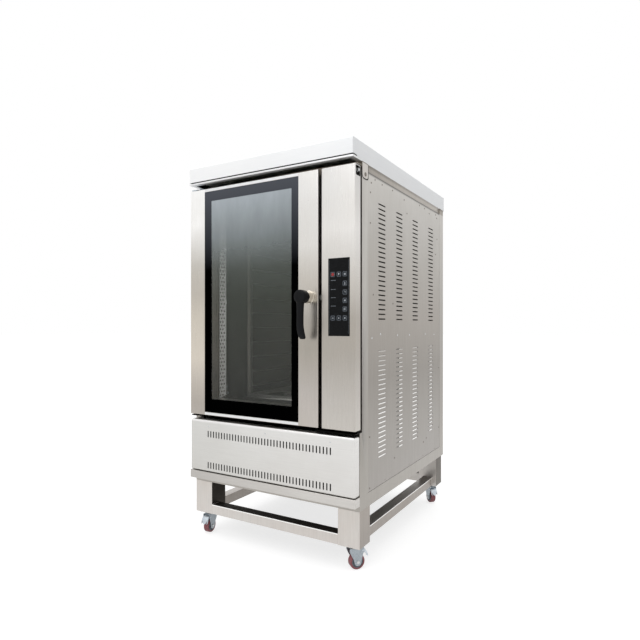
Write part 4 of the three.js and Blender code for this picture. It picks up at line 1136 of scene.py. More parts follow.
    def front_cover(self) -> None:
        """Lower cover with rolled edges, two rows of upright slots and three screws."""
        low, high = span("front_cover")
        first = -((self.slot_count - 1) / 2) * self.slot_pitch
        across, up = self.slot_half
        columns = [first + n * self.slot_pitch for n in range(self.slot_count)]
        slots = [rectangle((x - across, z - up), (x + across, z + up), 3.4, 4)
                 for z in self.slot_rows for x in columns]
        cover = Form().put(fold(low, high, 11.0, [Side.REAR], {Side.FRONT: slots}, segments=7))
        cover.make("lower_cover_skin", COVER_STEEL, self.body, "cover_steel", ["front_cover"])
        # A near-black sheet behind the slots: painted shade, so that the slots look dark.
        wall = framed(low, high, 4.0, 6.0)
        shade_sheet = Form().put(prism(wall, Side.FRONT, (high.y - 6.5, high.y - 5.0), rounding=0.4))
        shade_sheet.make("lower_cover_shade_sheet", BLACK_SHADE_STEEL, self.body, "side_steel")
        seats = [Side.FRONT.matrix(x, low.y, self.cover_screw_height) for x in self.cover_screws]
        screws = Form().put(screw_head(4.5, 1.8), *seats)
        screws.make("lower_cover_screws", BOLT, self.body, "cover_steel")

    def apron(self) -> None:
        """Trim band under the lower cover."""
        low, high = span("front_apron")
        band = Form().put(fold(low, high, 3.0, [Side.REAR]))
        band.make("trim_band_skin", APRON_STEEL, self.body, "brushed_steel", ["front_apron"])

    def chassis(self) -> None:
        """Base band, posts, shelf and rim with rounded folds, and the corner tab on its seat."""
        # Painted shade: near black on the shelf's front in the gap under the door, dark on the base band's
        # underside.
        dark = (
            Patch(BLACK_SHADE_STEEL, (-512.0, -60.0, 636.0), (512.0, 30.0, 675.0)),
            Patch(SHADED_STEEL, (-520.0, -10.0, 290.0), (520.0, 1260.0, 300.0), Side.BOTTOM),
        )
        posts = Form().put_node("chassis_frame", 1.2)
        posts.make("chassis_posts", FRAME_STEEL, self.body, "side_steel", ["chassis_frame"], dark)
        # The mouth's sheet is near black: painted shade in the gaps round the door.
        mouth = Form().put_node("front_frame", 0.6)
        mouth.make("mouth_sheet", BLACK_SHADE_STEEL, self.body, "side_steel", ["front_frame"])
        # The tab's seat is near black: a painted shadow round the tab.
        back, middle, face = self.tab_planes
        seat = Form().put(prism(self.tab_outline(*self.tab_seat), Side.RIGHT, (back, middle), rounding=0.2))
        seat.make("corner_tab_seat", BLACK_SHADE_STEEL, self.body, "side_steel")
        corner = Form().put(prism(self.tab_outline(*self.tab), Side.RIGHT, (middle, face), rounding=0.5))
        corner.make("corner_tab", STAND_STEEL, self.body, "side_steel")
        bolt = Form().put(hex_bolt(13.0, 2.0, 10.0), Side.RIGHT.matrix(510.3, *self.tab_bolt))
        bolt.make("corner_tab_bolt", DULL_BOLT, self.body, "side_steel")

    @staticmethod
    def tab_outline(middle: float, half: float, bend: float, foot: float) -> list[Point]:
        """The corner tab's edge: straight down from the canopy, with both lower corners rounded.

        Args:
            middle: The y of its middle.
            half: Half of its width.
            bend: Radius of its lower corners.
            foot: Height of its lower edge.

        Returns:
            Its points.
        """
        top = 1917.0
        return [(middle - half, top), *arc((middle - half + bend, foot + bend), bend, 180, 270, 6),
                *arc((middle + half - bend, foot + bend), bend, 270, 360, 6), (middle + half, top)]


# ------------------------------------------------------------------ stand


@dataclass
class Stand:
    """Four welded legs, their ring of rails, and the casters under them."""

    body: str = "cabinet"
    leg_width: float = 115.0
    rail_foot: float = 124.0
    rail_top: float = 173.0
    rail_inset: float = 27.0

    def build(self) -> None:
        """Builds the stand and its four casters."""
        # Painted shade: the right faces, darker on the rear right leg, and near black on the left legs' inner
        # faces and the rails' tops.
        shaded_faces = (
            Patch(STAND_SIDE_STEEL, (-520.0, -10.0, 118.0), (520.0, 1050.0, 300.0), Side.RIGHT),
            Patch(REAR_LEG_STEEL, (380.0, 1050.0, 118.0), (520.0, 1260.0, 300.0), Side.RIGHT),
            Patch(SHADED_STEEL, (-400.0, -5.0, 121.0), (-380.0, 1220.0, 300.0), Side.RIGHT),
            Patch(SHADED_STEEL, (-392.0, -5.0, 165.0), (392.0, 1220.0, 180.0), Side.TOP),
        )
        weldment = Form().put_node("stand_frame", 2.2)
        weldment.make("stand_weldment", STAND_STEEL, self.body, "brushed_steel", ["stand_frame"], shaded_faces)
        self.welds()
        self.edges()
        for name in ("front_left", "front_right", "rear_left", "rear_right"):
            Caster(name).build()

    def welds(self) -> None:
        """Fillet welds where the rails meet the legs, with the ripples of their beads."""
        beads = Form()
        reach = span("stand_frame")[1].x
        foot, top = self.rail_foot, self.rail_top
        for side in (-1, 1):
            x = side * (reach - self.leg_width) - side * 0.5
            for y in (0.8, 60.0):
                beads.put(self.bead(Vector((x, y, foot)), Vector((x, y, top))))
            beads.put(self.bead(Vector((x, 2.0, top)), Vector((x, 58.0, top))))
            inner, outer = side * (reach - 87.0), side * (reach - self.rail_inset)
            for y in (110.5, 1102.5):
                beads.put(self.bead(Vector((inner, y, top)), Vector((outer, y, top))))
                beads.put(self.bead(Vector((outer, y, foot)), Vector((outer, y, top))))
        beads.make("stand_welds", STAND_STEEL, self.body, "brushed_steel")

    def edges(self) -> None:
        """Painted highlights along the rails' upper corners."""
        reach = span("stand_frame")[1].x
        leg, top, out = reach - self.leg_width, self.rail_top + 0.2, reach - self.rail_inset
        edges = Form().put(block((-leg, -0.5, top - 5.0), (leg, 2.2, top)))
        edges.put(block((out - 2.2, 116.0, top - 5.0), (out + 0.5, 1100.0, top)))
        edges.make("stand_rail_highlights", EDGE_HIGHLIGHT_STEEL, self.body, "brushed_steel")

    @staticmethod
    def bead(start: Vector, end: Vector) -> BMesh:
        """One weld bead, rippled along its length.

        Args:
            start: Where it begins.
            end: Where it ends.

        Returns:
            The body.
        """
        count = max(6, int((end - start).length / 3))
        along = (end - start).normalized()
        across = along.orthogonal().normalized()
        other = along.cross(across)
        sections = []
        for n in range(count + 1):
            radius = 2.0 + 0.35 * math.sin(n * 2.4)
            centre = start.lerp(end, n / count)
            sections.append([centre + across * a + other * b for a, b in disc((0, 0), radius, 8)])
        return loft(sections)


@dataclass
class Caster:
    """One swivel caster: a mounting plate with its ball race, a pressed fork, a wheel and a brake pedal.

    The lead is how far the axle stands from the swivel's axis, towards the pedal.
    """

    name: str
    radius: float = 37.5
    half: float = 16.0
    lead: float = 12.0
    crown: float = 105.0
    cheek: float = 22.0
    plate_thickness: float = 4.0
    bolt_reach: Point = (36.0, 23.0)
    boss_radius: float = 18.0

    def placed(self) -> Matrix:
        """The caster's own frame: x towards the pedal, y along the axle, from the floor under its swivel."""
        swivel = pivot(f"swivel_{self.name}")
        roll = next(joint for joint in frame["joints"] if joint["name"] == f"roll_{self.name}")
        axle = Vector(roll["axis"])
        up = Vector((0, 0, 1))
        turn = Matrix((axle.cross(up), axle, up)).transposed().to_4x4()
        return Matrix.Translation((swivel.x, swivel.y, 0.0)) @ turn

    def build(self) -> None:
        """Builds the plate, the fork, the wheel and the pedal, each on its own body."""
        at = self.placed()
        self.plate()
        self.fork(at)
        self.wheel(at)
        self.pedal(at)

    def plate(self) -> None:
        """Mounting plate with rounded corners, four bolts and the swivel's race."""
        low, high = span(f"caster_plate_{self.name}")
        middle = (low + high) / 2
        across, along = self.bolt_reach
        holes = [(middle.x + a * across, middle.y + b * along) for a in (-1, 1) for b in (-1, 1)]
        outline = rectangle((low.x, low.y), (high.x, high.y), 6.0)
        under = high.z - self.plate_thickness
        plate = Form().put(prism(outline, Side.BOTTOM, (under, high.z), rounding=0.7))
        plate.put(hex_bolt(12.0, 5.0, 8.5), *[Side.BOTTOM.matrix(x, y, under) for x, y in holes])
        race = [(8.0, 0.0), (24.0, 0.0), (27.5, 2.0), (29.0, 5.0), (29.0, 7.5), (26.0, 10.5), (8.0, 10.5)]
        plate.put(turned(race, 40, True), Matrix.Translation((middle.x, middle.y, self.crown + 0.3)))
        plate.make(f"caster_top_{self.name}", ZINC, "cabinet", "zinc", [f"caster_plate_{self.name}"])

    def fork(self, at: Matrix) -> None:
        """Pressed fork: a crown, two cheeks that narrow to the axle, the king pin, the axle and its nuts.

        Args:
            at: The caster's own frame.
        """
        boss = arc((self.lead, self.radius), self.boss_radius, 195, 345, 10)
        outline = [(-30.0, self.crown), (-31.0, self.crown - 12), (-23.0, self.radius + 36),
                   (-11.0, self.radius + 16), *boss, (32.0, self.radius + 14), (38.0, self.radius + 36),
                   (43.0, 88.0), (43.0, self.crown)]
        fork = Form()
        for side in (-1, 1):
            depths = (side * (self.cheek - 3.0), side * self.cheek)
            fork.put(prism(outline, Side.FRONT, depths, rounding=0.7), at)
        crown = rectangle((-24.5, -self.cheek), (31.0, self.cheek), 9.0)
        fork.put(prism(crown, Side.TOP, (self.crown - 3.5, self.crown), rounding=0.9), at)
        cup = [(0.0, self.crown), (22.0, self.crown), (20.0, self.crown + 0.2), (0.0, self.crown + 0.2)]
        fork.put(turned(cup, 32), at)
        king_pin = turned([(0.0, 0.0), (5.0, 0.0), (5.0, 12.0), (0.0, 12.0)], 20)
        fork.put(king_pin, at @ Matrix.Translation((0, 0, self.crown - 1.0)))
        axle = turned([(0.0, -21.5), (4.9, -21.5), (4.9, 21.5), (0.0, 21.5)], 20)
        fork.put(axle, at @ Side.FRONT.matrix(self.lead, 0.0, self.radius))
        node = f"caster_fork_{self.name}"
        fork.make(f"caster_yoke_{self.name}", CASTER_ZINC, f"fork_{self.name}", "zinc", [node])
        nuts = Form()
        for side in (Side.FRONT, Side.REAR):
            seat = side.value[3] * self.cheek
            nuts.put(hex_bolt(12.0, 5.0, 8.0), at @ side.matrix(self.lead, seat, self.radius))
        nuts.make(f"caster_nuts_{self.name}", BOLT, f"fork_{self.name}", "zinc")

    def wheel(self, at: Matrix) -> None:
        """A polyurethane tyre with a soft crown over a core with a recessed web and a bearing.

        Args:
            at: The caster's own frame.
        """
        centre = at @ Side.FRONT.matrix(self.lead, 0.0, self.radius)
        half = self.half
        rounding = arc((self.radius - 4.0, half - 4.5), 4.0, 0, 80, 5)
        upper = [(self.radius, half - 7.0), *rounding, (29.0, half - 0.4), (28.0, half - 1.6)]
        tyre = Form().put(turned([*[(r, -h) for r, h in reversed(upper)], *upper], 64, True), centre)
        node = f"caster_wheel_{self.name}"
        tyre.make(f"caster_tyre_{self.name}", TYRE, f"wheel_{self.name}", "caster_wheel", [node])
        web = [(28.2, half - 1.6), (26.5, half - 1.0), (25.0, half - 1.6), (23.5, half - 5.0),
               (14.5, half - 5.0), (13.0, half - 0.8), (12.0, half + 0.6), (8.5, half + 0.9),
               (5.6, half + 0.9)]
        core = Form().put(turned([*web, *[(r, -h) for r, h in reversed(web)]], 48, True), centre)
        core.make(f"caster_core_{self.name}", WHEEL_CORE, f"wheel_{self.name}", "caster_wheel")

    def pedal(self, at: Matrix) -> None:
        """Brake pedal: a pressed blade that hugs the wheel and ends in a rounded toe, on its pivot pin.

        Args:
            at: The caster's own frame.
        """
        path = [(30.0, 97.0), (38.0, 97.0), (45.0, 95.6), (52.0, 91.5), (58.0, 84.0), (62.0, 75.0),
                (64.5, 66.0), (65.8, 58.2)]
        widths = [18.3, 18.3, 18.3, 18.3, 17.9, 15.8, 11.3, 5.3]
        slopes = self.slopes(path)
        crown, thickness, flange = 0.72, 1.6, 9.0
        sections = []
        for (x, z), width, (run, fall) in zip(path, widths, slopes):
            shares = [-1 + n / 4 for n in range(9)]
            upper = [Vector((x + fall * crown * (1 - t * t), width * t, z)) for t in shares]
            lower = [point - Vector((fall, 0, -run)) * thickness for point in reversed(upper)]
            sections.append([*upper, *lower])
        pedal = Form().put(loft(sections), at)
        pin = turned([(0.0, -24.0), (3.6, -24.0), (4.4, -23.2), (3.0, -22.4), (3.0, 22.4), (4.4, 23.2),
                      (3.6, 24.0), (0.0, 24.0)], 20)
        pedal.put(pin, at @ Side.FRONT.matrix(36.0, 0.0, 92.0))
        lug = [(31.0, 88.0), (41.0, 88.0), (45.0, 94.0), (39.0, 96.0), (31.0, 96.0)]
        rim = [(x - fall * flange, z - run * flange) for (x, z), (run, fall) in zip(path[1:-1], slopes[1:-1])]
        flanges = ((lug, 16.2, 18.0, 0.4), ([*path, *reversed(rim)], 16.8, 18.4, 0.3))
        for outline, inner, outer, rounding in flanges:
            for side in (-1, 1):
                pedal.put(prism(outline, Side.FRONT, (side * inner, side * outer), rounding=rounding), at)
        node = f"caster_pedal_{self.name}"
        pedal.make(f"caster_brake_{self.name}", ZINC, f"pedal_{self.name}", "zinc", [node])

    @staticmethod
    def slopes(path: Outline) -> list[Point]:
        """The direction of a path at each of its points.

        Args:
            path: Its points.

        Returns:
            How far it runs and falls there, for a step of one.
        """
        found = []
        for n in range(len(path)):
            before, after = path[max(n - 1, 0)], path[min(n + 1, len(path) - 1)]
            run, rise = after[0] - before[0], after[1] - before[1]
            length = math.hypot(run, rise)
            found.append((run / length, -rise / length))
        return found


# ------------------------------------------------------------------ door and handle


@dataclass
class Door:
    """The glazed door: its folded steel shell, two panes, seal and hinges."""

    body: str = "door"
    rebate: float = 0.3
    window_low: Point = (-355.5, 760.0)
    window_high: Point = (161.0, 1825.0)

    def build(self) -> None:
        """Builds the door's pieces."""
        self.shell()
        self.panes()
        self.seal()
        # The lower hinge bracket is near black: painted shade.
        for end, finish in (("upper", ZINC), ("lower", BLACK_SHADE_STEEL)):
            Form().put_node(f"door_hinge_{end}", 0.8).make(
                f"hinge_bracket_{end}", finish, "cabinet", "zinc", [f"door_hinge_{end}"])

    def shell(self) -> None:
        """Skins with rolled edges, the glass rebate, the window's inner sides and the holes for the hinge pin."""
        low, high = span("door_frame")
        glass_low, glass_high = span("door_glass_outer")
        inner_low, _ = span("door_glass_inner")
        seat = framed(glass_low, glass_high, -self.rebate, 1.0, 2)
        window = rectangle(self.window_low, self.window_high, 2.0, 2)
        swing = pivot("door_swing")
        bush = disc((swing.x, swing.y), 6.6, 20)
        cuts = {Side.FRONT: [seat], Side.REAR: [window], Side.TOP: [bush], Side.BOTTOM: [bush]}
        shell = Form().put(fold(low, high, 4.0, (), cuts, 1.6, 5))
        wall = framed(glass_low, glass_high, -2.0, 2.0, 2)
        shell.put(prism(wall, Side.FRONT, (low.y + 1.7, low.y + 8), [seat]))
        shell.put(prism(wall, Side.FRONT, (low.y + 6.2, low.y + 8), [window]))
        (left, foot), (right, head) = self.window_low, self.window_high
        around = rectangle((left - 2, foot - 2), (right + 2, head + 2), 3.0, 2)
        shell.put(prism(around, Side.FRONT, (low.y + 8.05, inner_low.y - 0.3), [window]))
        shell.make("door_shell", DOOR_STEEL, self.body, "brushed_steel", ["door_frame"])
        # Painted highlights: thin near-white strips over the door's upper and lower rails.
        rails = Form()
        for foot, head in ((low.z + 2.5, glass_low.z - 1.5), (glass_high.z + 1.5, high.z - 2.5)):
            strip = rectangle((glass_low.x + 1.0, foot), (glass_high.x - 1.0, head), 0.8, 2)
            rails.put(prism(strip, Side.FRONT, (low.y - 0.5, low.y + 0.2), rounding=0.3))
        rails.make("door_rail_highlight", LIP_STEEL, self.body, "brushed_steel")

    def panes(self) -> None:
        """Outer pane with its black printed border, and the clear inner pane."""
        low, high = span("door_glass_outer")
        window = rectangle(self.window_low, self.window_high, 3.0)
        edge = framed(low, high, 0.0, 1.5, 3)
        border = Form().put(prism(edge, Side.FRONT, (low.y, high.y), [window]))
        border.make("pane_border", FRIT, self.body, "glass", ["door_glass_outer"])
        clear = Form().put(prism(window, Side.FRONT, (low.y + 0.05, high.y - 0.05)))
        clear.make("pane_window", PANE, self.body, "glass")
        inner_low, inner_high = span("door_glass_inner")
        inner = framed(inner_low, inner_high, 0.0, 4.0)
        pane = Form().put(prism(inner, Side.FRONT, (inner_low.y, inner_high.y), rounding=0.8))
        pane.make("inner_pane", INNER_PANE, self.body, "inner_glass", ["door_glass_inner"])

    def seal(self) -> None:
        """Silicone bulb seal, run round the mouth with rounded corners."""
        low, high = span("door_gasket")
        middle = (low.y + high.y) / 2
        path = [Vector((x, middle, z)) for x, z in framed(low, high, 7.0, 18.0, 8)]
        bulb = Form().put(closed_tube(path, (high.y - low.y) / 2, 12))
        flange = framed(low, high, 1.0, 20.0, 6)
        inside = framed(low, high, 13.0, 10.0, 6)
        bulb.put(prism(flange, Side.FRONT, (low.y, low.y + 1.6), [inside], 0.4))
        bulb.make("door_seal", SEAL, self.body, "seal", ["door_gasket"])


@dataclass
class Handle:
    """A chromed barrel on the door, and a black lever with its hub, spindle and latch tongue.

    Each station is a section of the lever: its height from the spindle, the depth of its front and back
    faces behind the hub's front, and half of its width. No back depth means as deep as the hub.
    """

    spindle: float = 7.0
    collar_length: float = 16.3
    stations: tuple[tuple[float, float, float | None, float], ...] = (
        (4.0, 2.0, None, 17.0), (-14.0, 1.6, None, 18.4), (-30.0, 1.4, 27.0, 18.5),
        (-50.0, 1.6, 24.6, 17.8), (-80.0, 1.8, 23.0, 17.2), (-110.0, 1.8, 22.0, 17.2),
        (-135.0, 2.0, 21.8, 17.6), (-152.0, 4.0, 24.5, 18.2), (-167.0, 8.5, 28.5, 18.5),
        (-179.0, 14.5, 33.5, 18.2), (-188.0, 21.5, 38.0, 17.0), (-194.0, 27.5, 40.5, 15.5),
        (-197.2, 32.0, 40.0, 13.0),
    )

    def build(self) -> None:
        """Builds the barrel, the lever and the latch tongue."""
        self.barrel()
        self.lever()
        Form().put_node("latch_cam", 0.5).make("latch_tongue", ZINC, "latch_handle", "zinc", ["latch_cam"])

    def barrel(self) -> None:
        """Turned barrel with a flange at the door, a fine groove and a black collar behind the lever."""
        low, high = span("handle_barrel")
        length = high.y - low.y
        profile = [(8.2, 0.0), (31.2, 0.0), (32.0, 0.8), (32.0, 2.4), (31.0, 3.2), (30.4, 4.0), (30.2, 6.0),
                   (30.2, length - 17.0), (29.2, length - 16.6), (29.2, length - 15.6), (30.6, length - 15.0),
                   (30.6, length - 1.0), (29.6, length), (8.2, length)]
        axis = pivot("handle_turn")
        barrel = Form().put(turned(profile, 64, True), Side.FRONT.matrix(axis.x, high.y, axis.z))
        collar_end = low.y + self.collar_length
        collar = Patch(LEVER_PLASTIC, (low.x - 5, low.y - 1, low.z - 5), (high.x + 5, collar_end, high.z + 5))
        barrel.make("handle_neck", POLISHED, "door", "barrel_steel", ["handle_barrel"], [collar])

    def lever(self) -> None:
        """Lofted lever: full at the hub, slimmer at the waist, with a tip that curls towards the door."""
        low, high = span("handle_lever")
        neck_low, _ = span("handle_barrel")
        axis = pivot("handle_turn")
        front, back = low.y, neck_low.y - 0.3
        sections = []
        for rise, near, far, half in self.stations:
            far = back - front if far is None else far
            middle, thick = (near + far) / 2, (far - near) / 2
            # From 140 mm down the sections lean more and more, so that the tip's end turns to the door.
            lean = 0.55 * max(0.0, (-rise - 140.0) / 60.0)
            ring = []
            for n in range(32):
                angle = 2 * math.pi * n / 32
                c, s = math.cos(angle), math.sin(angle)
                across = half * math.copysign(abs(c) ** 0.62, c)
                deep = thick * math.copysign(abs(s) ** 0.8, s)
                ring.append(Vector((axis.x + across, front + middle + deep, axis.z + rise + lean * deep)))
            sections.append(ring)
        lever = Form().put(loft(sections))
        hub = [(0.0, back - 0.2), (30.6, back - 0.2), (32.0, back - 1.4), (32.0, front + 9.0),
               (31.0, front + 5.0), (28.5, front + 2.0), (23.5, front + 0.5), (15.0, front + 0.1),
               (0.0, front)]
        lever.put(turned([(radius, -y) for radius, y in hub], 64), Side.FRONT.matrix(axis.x, 0.0, axis.z))
        length = high.y - back
        spindle = turned([(0.0, 0.0), (self.spindle, 0.0), (self.spindle, length), (0.0, length)], 24)
        lever.put(spindle, Side.REAR.matrix(axis.x, back, axis.z))
        lever.make("lever_grip", LEVER_PLASTIC, "latch_handle", "black_plastic", ["handle_lever"])


# ------------------------------------------------------------------ control panel


@dataclass
class ControlPanel:
    """The hinged control box with its keypad film, ten keys and their printing."""

    body: str = "control_panel"
    line_width: float = 0.6
    bar_heights: tuple[float, ...] = (1365.0, 1323.0, 1285.0, 1246.0)
    bar_pieces: tuple[Point, ...] = ((382.5, 6.0), (390.0, 4.0), (396.0, 7.0), (404.5, 3.5))

    def build(self) -> None:
        """Builds the box, the film, the keys and the printing."""
        keys = [name for name in frame["record"]["behaviour"]["bodies"] if name.startswith("key_")]
        self.box()
        self.film(keys)
        for name in keys:
            self.key(name)

    def box(self) -> None:
        """Folded steel box, open at its back, with the film's opening and a bolt in a notch near its top."""
        low, high = span("control_box")
        opening = framed(*span("control_overlay"), -0.3, 1.5, 2)
        rear = framed(low, high, 14.0, 3.0, 2)
        notch = rectangle((-40.0, high.z - 52.0), (5.0, high.z - 6.0), 7.0, 5)
        cuts = {Side.FRONT: [opening], Side.REAR: [rear], Side.RIGHT: [notch]}
        box = Form().put(fold(low, high, 4.0, (), cuts, 1.6, 5))
        box.make("control_box_skin", CONTROL_STEEL, self.body, "brushed_steel", ["control_box"])
        # A near-black block in the notch: painted shade.
        recess = Form().put(block((high.x - 14, -42.0, high.z - 56), (high.x - 9.2, 7.0, high.z - 3)))
        recess.make("control_box_recess", BLACK_SHADE_STEEL, self.body, "brushed_steel")
        bolt = Form().put(hex_bolt(15.0, 9.0, 10.0), Side.RIGHT.matrix(high.x - 9.0, -6.0, high.z - 22.0))
        bolt.make("control_box_bolt", BOLT, self.body, "zinc")

    def film(self, keys: Sequence[str]) -> None:
        """Black keypad film with a window for each key, thin side lines and broken bars.

        Args:
            keys: The nodes of the keys.
        """
        low, high = span("control_overlay")
        face = low.y + 0.1
        windows = [framed(*span(name), -0.3, 4.0, 3) for name in keys]
        film = Form().put(prism(framed(low, high, 0.0, 3.0), Side.FRONT, (face, high.y), windows, 0.25))
        film.make("keypad_film", KEYPAD_FILM, self.body, "overlay", ["control_overlay"])
        lines = [rectangle((x, low.z + 10), (x + self.line_width, high.z - 10))
                 for x in (low.x + 5.2, high.x - 5.8)]
        bars = [rectangle((x, z - 1.5), (x + wide, z + 1.5), 0.6, 2)
                for z in self.bar_heights for x, wide in self.bar_pieces]
        printing = Form()
        for outline in [*lines, *bars]:
            printing.put(prism(outline, Side.FRONT, (face - 0.1, face + 0.05)))
        printing.make("keypad_printing", DIM_INK, self.body, "overlay")

    def key(self, name: str) -> None:
        """One key: a domed square with a printed ring and a plain mark of its own.

        Args:
            name: The key's node.
        """
        low, high = span(name)
        x, z = (low.x + high.x) / 2, (low.z + high.z) / 2
        half = (high.x - low.x) / 2
        sections = []
        for inset, depth in ((0.0, high.y), (0.0, low.y + 0.9), (0.6, low.y + 0.35), (1.6, low.y + 0.2)):
            edge = half - inset
            outline = rectangle((x - edge, z - edge), (x + edge, z + edge), 4.0 - inset / 2)
            sections.append([Vector((px, depth, pz)) for px, pz in outline])
        red = name == "key_power"
        slot = "red_key" if red else "key"
        Form().put(loft(sections)).make(f"{name}_cap", KEY_FILM, name, slot, [name])
        face = low.y + 0.2
        ring = rectangle((x - 10.5, z - 10.5), (x + 10.5, z + 10.5), 5.0)
        hole = rectangle((x - 9, z - 9), (x + 9, z + 9), 4.0)
        border = Form().put(prism(ring, Side.FRONT, (face - 0.1, face + 0.1), [hole]))
        border.make(f"{name}_ring", DIM_INK, name, slot)
        mark = Form()
        for outline in self.marks(name, x, z):
            mark.put(prism(outline, Side.FRONT, (face - 0.1, face + 0.1)))
        mark.make(f"{name}_mark", RED_FILM if red else INK, name, slot)

    @staticmethod
    def marks(name: str, x: float, z: float) -> list[list[Point]]:
        """The plain mark on a key.

        Args:
            name: The key's node.
            x: Across, to the key's middle.
            z: Up, to the key's middle.

        Returns:
            The outlines that it is drawn with.
        """
        def bar(wide: float, high: float, dx: float = 0.0, dz: float = 0.0) -> list[Point]:
            """A bar round a point of the key."""
            return rectangle((x + dx - wide / 2, z + dz - high / 2), (x + dx + wide / 2, z + dz + high / 2))

        drawings = {
            "key_power": [disc((x, z), 7.6, 24)],
            "key_lamp": [disc((x, z + 1.5), 3.2, 16), bar(3, 2, 0, -3.5)],
            "key_vent": [bar(9, 1.4, 0, 3), bar(9, 1.4), bar(9, 1.4, 0, -3)],
            "key_temperature": [bar(2.4, 10), disc((x, z - 4), 2.6, 16)],
            "key_time": [bar(1.4, 6, 0, 2.6), bar(6, 1.4, 2.6, 0)],
            "key_steam": [bar(1.5, 8, -3), bar(1.5, 8), bar(1.5, 8, 3)],
            "key_rack": [bar(9, 1.4, 0, 3.4), bar(9, 1.4, 0, -3.4), bar(1.4, 8, -4)],
            "key_minus": [bar(9, 1.8)],
            "key_set": [disc((x, z), 2.6, 16)],
            "key_plus": [bar(9, 1.8), bar(1.8, 3.5, 0, 2.7), bar(1.8, 3.5, 0, -2.7)],
        }
        return drawings[name]


# ------------------------------------------------------------------ chamber, rack and air system


@dataclass
class Chamber:
    """What is seen through the glass and what works behind it."""

    body: str = "cabinet"
    hole: float = 6.4
    pitch: float = 21.0
    front_strip: Point = (76.0, 158.0)
    rear_strip: Point = (795.0, 832.0)
    air_slot: Point = (166.0, 177.0)
    lit_strip_end: float = 172.0
    guard_middle: Point = (540.0, 938.0)
    guard_rings: tuple[tuple[float, int], ...] = ((22.0, 6), (44.0, 12), (66.0, 18), (88.0, 24), (110.0, 30))
    bolt_places: tuple[Point, ...] = ((174.0, 799.0), (183.0, 763.0))

    def build(self) -> None:
        """Builds the liner, the baffles, the fans, the drive, the rack and the electrics."""
        self.baffle("left")
        self.baffle("right")
        plain = [
            ("chamber_liner", "liner_shell", LINER_STEEL, self.body, "liner_steel", 0.7),
            ("fan_baffle", "fan_partition", LINER_STEEL, self.body, "liner_steel", 0.5),
            ("insulation_jacket", "wool_jacket", WOOL, self.body, "wool", 2.0),
            ("heater_coil", "heater_tube", HEATER, self.body, "heater", 0.0),
            ("fan_motor_lower", "motor_lower", ENAMEL, self.body, "motor", 1.5),
            ("fan_motor_upper", "motor_upper", ENAMEL, self.body, "motor", 1.5),
            ("rack_gearmotor", "gearmotor", ENAMEL, self.body, "motor", 1.5),
            ("electrics_plate", "electrics", ZINC, self.body, "zinc", 0.8),
            ("fan_wheel_lower", "impeller_lower", ZINC, "fan_lower", "zinc", 0.5),
            ("fan_wheel_upper", "impeller_upper", ZINC, "fan_upper", "zinc", 0.5),
            ("rack_frame", "rack_tubes", RACK_STEEL, "rack", "liner_steel", 1.0),
            ("rack_turntable", "rack_drive_plate", RACK_STEEL, "rack", "liner_steel", 0.6),
        ]
        for node, name, finish, body, slot, rounding in plain:
            Form().put_node(node, rounding).make(name, finish, body, slot, [node])

    def holes(self, y_range: Point, z_range: Point) -> list[list[Point]]:
        """Staggered round holes over a strip of a baffle.

        Args:
            y_range: Where the strip begins and ends along the wall.
            z_range: Its lowest and highest rows.

        Returns:
            The holes' outlines.
        """
        found = []
        rows = int((z_range[1] - z_range[0]) / self.pitch)
        for row in range(rows + 1):
            z = z_range[0] + row * self.pitch
            y = y_range[0] + (self.pitch / 2 if row % 2 else 0.0)
            while y <= y_range[1]:
                found.append(disc((y, z), self.hole, 10))
                y += self.pitch
        return found

    def baffle(self, side_name: str) -> None:
        """A duct cover on the liner's wall, with perforated strips, two air slots and a round guard.

        Args:
            side_name: The wall it is on, left or right.
        """
        node = f"air_baffle_{side_name}"
        low, high = span(node)
        left = side_name == "left"
        side, wall_side = (Side.RIGHT, Side.LEFT) if left else (Side.LEFT, Side.RIGHT)
        foot, top = low.z + 30.0, high.z - 30.0
        middle = (low.z + high.z) / 2
        near, far = self.air_slot
        slots = [rectangle((near, foot), (far, middle - 12), 4.0, 3),
                 rectangle((near, middle + 12), (far, top), 4.0, 3)]
        guard = [disc(place, 5.2, 10) for radius, count in self.guard_rings
                 for place in disc(self.guard_middle, radius, count)]
        holes = [*self.holes(self.front_strip, (foot, top)), *self.holes(self.rear_strip, (foot, top)),
                 *slots, *guard]
        sheet = Form().put(fold(low, high, 3.0, [wall_side, Side.REAR], {side: holes}, 1.2))
        # The front strip keeps the duct's painted light; the rest of the cover has the liner's own sheet.
        baked = Patch(LINER_STEEL, (low.x - 1, self.lit_strip_end, low.z - 1),
                      (high.x + 1, high.y + 1, high.z + 1))
        sheet.make(f"duct_cover_{side_name}", DUCT_STEEL, self.body, "liner_steel", [node], [baked])
        face = high.x if left else low.x
        bolts = Form().put(hex_bolt(11.0, 5.0, 8.0), *[side.matrix(face, y, z) for y, z in self.bolt_places])
        bolts.make(f"duct_bolts_{side_name}", BOLT, self.body, "liner_steel")


# ------------------------------------------------------------------ studio


